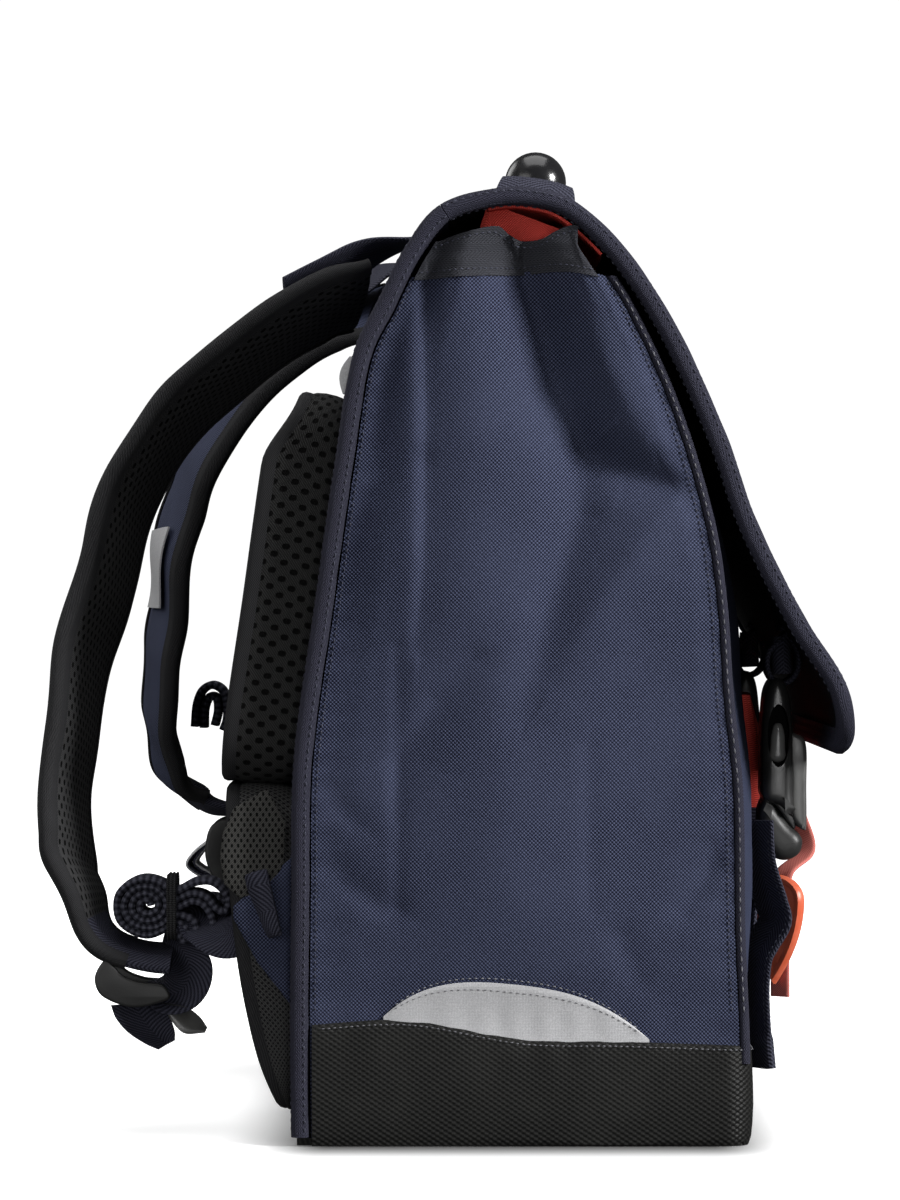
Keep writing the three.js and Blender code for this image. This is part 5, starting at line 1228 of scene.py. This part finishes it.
# Ladder adjusters: share of the strap's reach, share of the height and turn of each
adjuster = {"left": (0.69, 0.1635, 0), "right": (0.53, 0.2665, 78)}
adjusterSize = {"long": 0.028, "tall": 0.017, "cheek": 0.003, "half": 0.016, "bar": 0.0019, "barLong": 0.029}
barPlaces = [(0.17, 0.5), (0.47, 0.2), (0.84, 0.22)]
cheekRows = [(0, 0.62), (0.06, 0.25), (0.3, 0.02), (0.55, -0.06), (0.85, 0.04), (1, 0.16), (0.92, 0.42),
             (0.6, 0.5), (0.36, 0.66), (0.16, 1)]
tabRows = [(16, 6.5), (11, 1), (4, -4.5), (-4, -7.5), (-12, -5.5), (-19, -1.5), (-18.4, 0.8), (-11, -2.6),
           (-4, -4.4), (4, -1.6), (12, 3.6), (17.4, 8.6)]
# Left flap and its tongue: both edges as depth and height in millimetres, and how far in each edge lies
flapEdges = [([(151.6, 48.3), (149.7, 43.4), (145.2, 38.2), (138.8, 34.0), (133.9, 31.8)],
              [(132.8, 48.3), (130.9, 44.9), (129.4, 41.2), (128.3, 37.4), (128.3, 34.4)], (0.0, 0.010)),
             ([(132.8, 49.0), (124.5, 47.6), (118.9, 43.8), (115.9, 39.6)],
              [(131.6, 45.5), (129.0, 41.2), (124.5, 37.1), (117.0, 37.4)], (0.004, 0.009))]


def edgeAt(edge, share):
    steps = np.linspace(0, 1, len(edge))
    return np.stack([smoothColumn(steps, [p[k] for p in edge], share) for k in (0, 1)], -1) / 1000


def stationAt(word, off, up):
    side = sides[word]
    return np.array([side * 0.7 * halfWide, backFace(up * tall, bag["board"] / 2) + off * strap["reach"][word],
                     up * tall])


def tipped(points, pivot, degrees):
    angle = math.radians(degrees)
    y, z = np.array(points).T - np.array(pivot)[:, None]
    return np.stack([pivot[0] + y * math.cos(angle) - z * math.sin(angle),
                     pivot[1] + y * math.sin(angle) + z * math.cos(angle)], -1)


def makeAdjusters():
    for word in sides:
        off, up, tip = adjuster[word]
        spot = stationAt(word, off, up)
        pivot = spot[1:]

        def cheekPoint(a, b):
            return (spot[1] + 0.014 - a * adjusterSize["long"], spot[2] - 0.0085 + b * adjusterSize["tall"])
        cheek = tipped([cheekPoint(a, b) for a, b in cheekRows], pivot, tip)
        out, thick = adjusterSize["half"] - adjusterSize["cheek"] / 2, adjusterSize["cheek"]
        parts = [drawnOut("cheek", cheek, spot[0] + end * out, thick, 0.0011, adjusterPlastic) for end in (-1, 1)]
        for a, b in barPlaces:
            y, z = tipped([cheekPoint(a, b)], pivot, tip)[0]
            ring = [(y + adjusterSize["bar"] * math.cos(c), z + adjusterSize["bar"] * math.sin(c))
                    for c in np.linspace(0, 2 * math.pi, 9)[:-1]]
            parts.append(drawnOut("ladderBar", ring, spot[0], adjusterSize["barLong"], 0.0003, adjusterPlastic, 2))
        place(joined(f"ladderAdjuster_{word}", parts), "black_plastic", f"adjuster_{word}")
        long, drop = (1, 0.009) if word == "left" else (0.42, 0.010)
        rows = tipped([(spot[1] + a * long / 1000, spot[2] - drop + b / 1000) for a, b in tabRows], pivot, tip)
        run = runAlong([(spot[0], y, z) for y, z in rows], 8)
        rings = stripRings(*run, ribbonSection(), strap["webbing"], strap["webThick"])
        patches = tubePatches(rings, slotOf=[0] * 10 + [1] * 9 + [0])
        if word == "left":
            u, v = lattice(14, 14)
            patches = []
            for (nearEdge, farEdge, deep), slotHere in zip(flapEdges, (0, 1)):
                rims = [edgeAt(nearEdge, v), edgeAt(farEdge, v)]
                flatPlace = mix(*rims, u[..., None])
                x = spot[0] - strap["webbing"] / 2 + mix(*deep, u) + 0.0022 * np.sin(math.pi * u)
                faces = [np.concatenate([(x + lift)[..., None], flatPlace], -1) for lift in (0.0, strap["webThick"])]
                patches += [(grid, uv, slotHere) for grid, uv, _ in wallPatches(*faces)]
        finishes = [webbingCloth, paleGreyPlastic if word == "left" else reflectiveGrey]
        tab = makePiece(f"pullTab_{word}", patches, finishes, 50)
        place(tab, "webbing", f"pull_tab_{word}")


roll = {"left": (0.634, 0.02815), "right": (0.618, -0.028875), "inner": 0.0012, "pitch": 0.00265, "turns": 3.9,
        "thick": 0.0029, "foldWide": 0.024, "foldThick": 0.0030}
# Elastic: half sizes, corner and steps of its loop, and its section as height off the loop and place along the winding
elastic = {"half": (0.0130, 0.0112, 0.004, 64), "ahead": 0.0092,
           "rows": [(0, -0.0018), (0.0008, -0.0018), (0.0012, -0.0013), (0.0006, -0.0007), (0.0012, 0),
                    (0.0006, 0.0007), (0.0012, 0.0013), (0.0008, 0.0018), (0, 0.0018)]}
# Folds of the far half, behind the elastic: millimetres towards the bag and up from the middle of the winding
hankFolds = [[(7, 5), (12, 5.6), (18, 8.6), (24, 8.8), (28.5, 5.4), (30.5, 1.2), (29, -2.4), (26, -1.2),
              (22, 3.2), (17, 4.6), (11, 2.6), (7, 2.2)],
             [(7, -0.6), (12, -0.4), (17, 1.6), (21, 0.2), (24, -4.4), (24.6, -9.6), (22.6, -14.4), (19.4, -15),
              (18.6, -10.4), (17.4, -5.8), (12, -3.4), (7, -3.4)],
             [(7, -6), (11.4, -6.2), (14.4, -8.6), (15.6, -12.2), (13.4, -13), (11, -9.6), (7, -8.6)]]


def makeRolls():
    for word in sides:
        off, above = roll[word]
        spot = stationAt(word, off, adjuster[word][1] + above / tall)
        angle = np.linspace(0, roll["turns"] * 2 * math.pi, 26)
        reach = roll["inner"] + roll["pitch"] * angle / (2 * math.pi)
        wound = [(spot[0], spot[1] - r * math.cos(a) * 1.12, spot[2] + r * math.sin(a)) for r, a in zip(reach, angle)]
        patches = ribbonPatches(runAlong(wound, 7), strap["webbing"], roll["thick"], 8)
        for fold in hankFolds:
            folded = runAlong([(spot[0], spot[1] - d / 1000, spot[2] + h / 1000) for d, h in fold], 7)
            patches += ribbonPatches(folded, roll["foldWide"], roll["foldThick"], 8)
        piece = makePiece(f"webbingHank_{word}", patches, [hankCloth], 50)
        place(piece, "webbing", f"webbing_roll_{word}")
        # elastic round the hank
        halfX, halfZ, radius, steps = elastic["half"]
        loop = roundedLoop(halfX, halfZ, radius, steps)
        rings = []
        for out, slip in elastic["rows"]:
            rings.append(np.column_stack([spot[0] + loop[:, 0] * (1 + out / halfX),
                                          np.full(steps, spot[1] - elastic["ahead"] + slip),
                                          spot[2] - 0.0006 + loop[:, 1] * (1 + out / halfZ)]))
        rings = np.array(rings)
        band = makePiece(f"hankElastic_{word}", tubePatches(rings.transpose(1, 0, 2), True), [elasticCloth], 60)
        place(band, "elastic_band", f"roll_band_{word}")


# Front pocket: lower panel, zip and coral upper panel, each standing proud of the front
pocket = {"half": 0.08398, "under": 0.0009, "deep": 0.011, "foot": 0.038, "footTop": 0.1125, "zipLow": 0.1128,
          "zipHigh": 0.1195, "topFoot": 0.1198, "top": 0.163}
# Leaf-shaped puller: raised rim as share of the outline and height of each ring
leaf = {"half": 0.0135, "long": 0.045, "turn": 48, "hang": (-0.022, 0.0015, -0.018),
        "rings": [(0, -0.0011), (0.6, -0.0011), (0.80, -0.0011), (0.84, -0.0019), (0.95, -0.0020), (1.0, -0.0008),
                  (1.0, 0.0008), (0.95, 0.0020), (0.84, 0.0019), (0.80, 0.0011), (0.6, 0.0012), (0, 0.0014)]}
sliderRows = [(0.0002, -0.004), (0.0026, -0.0038), (0.0036, -0.0015), (0.0036, 0.0015), (0.0026, 0.0036),
              (0.0002, 0.004)]


def pocketWall(low, high, footShare, topShare, u, v):
    x, height = mix(-pocket["half"], pocket["half"], u), mix(low, high, v)
    slack = 0.0005 * np.sin(x * 83 + 2 * np.sin(height * 90)) * np.sin(height * 140) * ease(1 - abs(2 * u - 1), 0, 0.3)
    belly = mix(footShare, topShare, v) * (1 - 0.35 * np.abs(2 * u - 1) ** 6)
    proud = pocket["under"] + 0.0004 + pocket["deep"] * belly + slack
    return frontPoint(x, height, proud), frontPoint(x, height, pocket["under"]), np.stack([x, height], -1)


def bezier(corners):
    t = np.linspace(0, 1, 17)[:, None]
    a, b, c, d = np.array(corners, float)
    return (1 - t) ** 3 * a + 3 * (1 - t) ** 2 * t * b + 3 * (1 - t) * t ** 2 * c + t ** 3 * d


def makePocket():
    foot, zipTape, top = [(pocket[low], pocket[high]) for low, high in (("foot", "footTop"), ("zipLow", "zipHigh"),
                                                                        ("topFoot", "top"))]
    for name, node, (low, high), shares, finish, slotName in (
            ("pocketLower", "pocket_lower", foot, (0.35, 1.0), navyCloth, "navy_cloth"),
            ("pocketZip", "pocket_zip", zipTape, (0.9, 0.9), darkTape, "dark_tape"),
            ("pocketUpper", "pocket_upper", top, (1.0, 0.45), coralLining, "coral_lining")):
        u, v = lattice(90, 36 if high - low > 0.02 else 8)
        outer, inner, uv = pocketWall(low, high, *shares, u, v)
        piece = makePiece(name, wallPatches(outer, inner, uv), [finish])
        place(piece, slotName, node)
    u = np.linspace(0.02, 0.98, 160)
    for height in (0.1155, 0.1167):
        up = (height - zipTape[0]) / (zipTape[1] - zipTape[0])
        outer = pocketWall(*zipTape, 0.9, 0.9, u, np.full(160, up))[0]
        stitchLines["teeth"].append(outer + [0, -0.0003, 0])
    for height, shares, (low, high) in ((0.1098, (0.35, 1.0), foot), (0.1225, (1.0, 0.45), top)):
        outer = pocketWall(low, high, *shares, u, np.full(160, (height - low) / (high - low)))[0]
        stitchLines["tape"].append(outer + [0, -0.0002, 0])
    p = frontPoint(-0.07598, 0.11599, 0.011)
    slider = drawnOut("zipSlider", [(p[1] - out, p[2] + up) for out, up in sliderRows], p[0], 0.012, 0.0010,
                      blackPlastic)
    place(slider, "black_plastic", "zip_slider")
    turn = math.radians(leaf["turn"])
    loop = p + leaf["hang"]
    across, outwards = np.array([math.cos(turn), math.sin(turn), 0]), np.array([math.sin(turn), -math.cos(turn), 0])
    half, long = leaf["half"], leaf["long"]
    left = bezier([(0, -long), (-0.7 * half, -0.75 * long), (-half, -0.5 * long), (-half, -0.28 * long)])
    over = bezier([(-half, -0.28 * long), (-half, 0), (half, 0), (half, -0.28 * long)])
    outline = np.vstack([left[:-1], over[:-1], (left * [-1, 1])[::-1][:-1]])
    centre = np.array([0, -0.4 * long])
    rings = []
    for shrink, lift in leaf["rings"]:
        flatLoop = centre + (outline - centre) * max(shrink, 1e-4)
        rings.append(loop + flatLoop[:, :1] * across + flatLoop[:, 1:] * [0, 0, 1] + lift * outwards)
    rings = np.array(rings)
    grid = np.concatenate([rings, rings[:, :1]], 1)
    place(makePiece("zipLeaf", [(grid, None)], [orangeRubber], 50), "orange_puller", "puller")

    def onLeaf(drop, rise=0.0):
        return loop + outwards * (0.0033 + rise) - np.array([0, 0, drop])
    points = [p + [0, -0.0078, 0.001], np.array([mix(p[0], loop[0], 0.4), p[1] - 0.011, p[2] - 0.013]),
              onLeaf(0.003, 0.0024), onLeaf(0.013, 0.0003), onLeaf(0.0225), onLeaf(0.050)]
    ribbon = strip("zipRibbon", points, 0.009, 0.0014, ribbonCloth, way=tuple(across))[0]
    place(ribbon, "pink_ribbon", "pull_ribbon")


# Stitches: a short capsule at even steps along each line
stitchSizes = {"tape": (0.0030, 0.0019, 0.00028), "webbing": (0.0024, 0.0015, 0.00028),
               "seam": (0.0021, 0.0013, 0.00026), "moon": (0.0024, 0.0014, 0.00024),
               "pad": (0.0036, 0.0024, 0.0003), "teeth": (0.0013, 0.0006, 0.00055)}


def stitchTree(finish):
    tree = bpy.data.node_groups.new("stitchRun", "GeometryNodeTree")
    tree.interface.new_socket("Geometry", in_out="INPUT", socket_type="NodeSocketGeometry")
    for label in ("Spacing", "Length", "Radius"):
        tree.interface.new_socket(label, in_out="INPUT", socket_type="NodeSocketFloat")
    tree.interface.new_socket("Geometry", in_out="OUTPUT", socket_type="NodeSocketGeometry")
    add, link = tree.nodes.new, tree.links.new
    start, finished = add("NodeGroupInput"), add("NodeGroupOutput")
    path, steps = add("GeometryNodeMeshToCurve"), add("GeometryNodeResampleCurve")
    steps.mode = "LENGTH"
    capsule = add("GeometryNodeMeshIcoSphere")
    capsule.inputs["Subdivisions"].default_value = 1
    size, halve, tangent = add("ShaderNodeCombineXYZ"), add("ShaderNodeMath"), add("GeometryNodeInputTangent")
    halve.operation = "MULTIPLY"
    halve.inputs[1].default_value = 0.5
    aim = add("FunctionNodeAlignRotationToVector")
    aim.axis = "X"
    instances, real = add("GeometryNodeInstanceOnPoints"), add("GeometryNodeRealizeInstances")
    smooth, paint = add("GeometryNodeSetShadeSmooth"), add("GeometryNodeSetMaterial")
    paint.inputs["Material"].default_value = finish
    link(start.outputs["Geometry"], path.inputs["Mesh"])
    link(path.outputs[0], steps.inputs["Curve"])
    link(start.outputs["Spacing"], steps.inputs["Length"])
    link(steps.outputs[0], instances.inputs["Points"])
    link(capsule.outputs["Mesh"], instances.inputs["Instance"])
    link(tangent.outputs[0], aim.inputs["Vector"])
    link(aim.outputs[0], instances.inputs["Rotation"])
    link(start.outputs["Length"], halve.inputs[0])
    link(halve.outputs[0], size.inputs["X"])
    link(start.outputs["Radius"], size.inputs["Y"])
    link(start.outputs["Radius"], size.inputs["Z"])
    link(size.outputs[0], instances.inputs["Scale"])
    link(instances.outputs[0], real.inputs[0])
    link(real.outputs[0], smooth.inputs["Geometry"])
    link(smooth.outputs[0], paint.inputs["Geometry"])
    link(paint.outputs[0], finished.inputs["Geometry"])
    return tree


def sewStitches(name, lines, kind, finish, slotName):
    points, edges = [], []
    for line in lines:
        edges += [(len(points) + i, len(points) + i + 1) for i in range(len(line) - 1)]
        points += [tuple(q) for q in np.asarray(line).tolist()]
    mesh = bpy.data.meshes.new(name + "Path")
    mesh.from_pydata(points, edges, [])
    maker = linkNew(name + "Path", mesh)
    modifier = maker.modifiers.new("stitches", "NODES")
    modifier.node_group = stitchTree(finish)
    labels = dict(zip(("Spacing", "Length", "Radius"), stitchSizes[kind]))
    for item in modifier.node_group.interface.items_tree:
        if item.name in labels:
            modifier[item.identifier] = labels[item.name]
    made = bpy.data.meshes.new_from_object(maker.evaluated_get(bpy.context.evaluated_depsgraph_get()))
    bpy.data.objects.remove(maker)
    place(linkNew(name, made), slotName)


def seamLines():
    along = np.linspace(shellSeam + 0.002, shellEnd - bag["lidCorner"], 160)
    onFace, proud = bag["tapeThick"] / 2 + 0.0001, 0.0001
    for side in (-1, 1):
        inX, edgeX = side * (halfWide - 0.0085), side * (halfWide + proud)
        for lift in (1, -1):
            stitchLines["tape"].append(shellPoint(inX, along, lift * onFace))
        stitchLines["tape"].append(shellPoint(edgeX, along, 0.0018))
        back = np.linspace(alongAtHeight(0.006), shellSeam - 0.001, 140)
        stitchLines["tape"].append(shellPoint(inX, back, onFace))
        stitchLines["tape"].append(shellPoint(edgeX, back, -0.0018))
        height = np.linspace(0.05, tall * 0.9, 140)
        for share in (0.012, 0.985):
            stitchLines["webbing"].append(sidePoint(side, share, height, 0.0004))
        frontX = np.full(140, side * (halfWide - bag["sideInset"] + 0.0012))
        stitchLines["pad"].append(np.stack([frontX, frontLine(height) + 0.0001, height], -1))
        share = np.linspace(0.04, 0.94, 90)
        for level in (sideTop(share) + 0.0015, tableAt(topBandRows, share) * tall - 0.0022):
            stitchLines["webbing"].append(sidePoint(side, share, level, 0.0011, False))
        u = np.linspace(0.05, 0.95, 70)
        stitchLines["moon"].append(moonPoint(side, u, np.full(70, 0.86), 0.0004 + moonSize["thick"] + 0.0001))
        stitchLines["moon"].append(moonPoint(side, u, np.full(70, 1.07), 0.0004))
    path, out, seam = bootLines
    keep = slice(4, len(path) - 4)
    stitchLines["seam"].append(np.column_stack([path + out * 0.0004, seam - 0.0016])[keep])


# Small reflective tab at each edge of the back, and the webbing keeper on the right strap
reflectorTab = {"low": 0.2745, "high": 0.2875, "inset": 0.0135, "wide": 0.013}
keeper = {"wide": 0.026, "thick": 0.0034}
keeperRows = [(133, 146), (132, 156), (129.5, 161.5), (125.5, 163.5), (121.5, 161.5), (119.5, 156), (119.5, 149),
              (121, 144.5)]
keeperInside = [(129.2, 145.5), (128.8, 154), (126.6, 158.6), (124, 158.2), (123.2, 153), (124.6, 146.5)]


def makeSmallCloth():
    u, v = lattice(10, 12)
    for word, side in sides.items():
        x = side * (halfWide - reflectorTab["inset"] - reflectorTab["wide"] * (u - 0.5))
        along = alongAtHeight(mix(reflectorTab["low"], reflectorTab["high"], v))
        lift = panelFace + 0.0006 + 0.0022 * np.sin(v * math.pi)
        faces = [shellPoint(x, along, lift + 0.0009), shellPoint(x, along, panelFace + 0.0003)]
        piece = makePiece(f"reflectorTab_{word}", wallPatches(*faces), [reflectiveGrey], 50)
        place(piece, "reflective_cloth")
    patches, length = [], 0
    for rows in (keeperRows, keeperInside):
        run = runAlong([(0.7 * halfWide, y / 1000, z / 1000) for y, z in rows], 8)
        patches += ribbonPatches(run, keeper["wide"], keeper["thick"], 8)
        length += lengthOf(run[0])
    piece = makePiece("strapKeeper", patches, [hankCloth], 50)
    place(piece, "webbing")


stitchLines = {kind: [] for kind in stitchSizes}
makeGrip()
makeBuckles()
makeAdjusters()
makeRolls()
makePocket()
makeSmallCloth()
print("hardware and pocket made")
seamLines()
for name, kind, finish, slotName in (("tapeStitches", "tape", darkThread, "dark_tape"),
                                     ("webbingStitches", "webbing", darkThread, "webbing"),
                                     ("frontStitches", "pad", paleThread, "dark_tape"),
                                     ("bootStitches", "seam", paleThread, "coated_cloth"),
                                     ("moonStitches", "moon", greyThread, "reflective_cloth"),
                                     ("zipTeeth", "teeth", blackPlastic, "black_plastic")):
    sewStitches(name, stitchLines[kind], kind, finish, slotName)
print("stitches sewn")

# Floor and backdrop
room = {"floor": 9.0, "wall": 8.5, "wallTall": 14.0}


def stageSheet(name, points, faces, finish):
    mesh = bpy.data.meshes.new(name)
    mesh.from_pydata(points, [], faces)
    mesh.materials.append(finish)
    sheet = linkNew(name, mesh)
    return sheet


def makeStage():
    wallWhite, wallShader = startMaterial("wallWhite", 1.0, 0.0)
    wallTone = noiseAt(wallWhite, objectPlace(wallWhite), 0.5)
    tone = blendColour(wallWhite, wallTone, (0.97, 0.97, 0.97), (1.0, 1.0, 1.0))
    wallWhite.node_tree.links.new(tone, wallShader.inputs["Emission Color"])
    wallShader.inputs["Base Color"].default_value = (0, 0, 0, 1)
    wallShader.inputs["Emission Strength"].default_value = studio["wall"]
    corners = [(x * room["floor"], y * room["floor"], -0.0002) for x, y in ((-1, -1), (1, -1), (1, 1), (-1, 1))]
    ground = stageSheet("studioFloor", corners, [(0, 1, 2, 3)], floorWhite)
    ring = [(room["wall"] * math.cos(a), room["wall"] * math.sin(a)) for a in np.linspace(0, 2 * math.pi, 49)[:-1]]
    backdrop = stageSheet("studioWall", [(x, y, z) for z in (-0.1, room["wallTall"]) for x, y in ring],
                          [(i, (i + 1) % 48, 48 + (i + 1) % 48, 48 + i) for i in range(48)], wallWhite)
    for plain in (ground, backdrop):
        plain.visible_diffuse = False
        plain.visible_glossy = False
    backdrop.visible_shadow = False


makeStage()
print("floor and backdrop set")
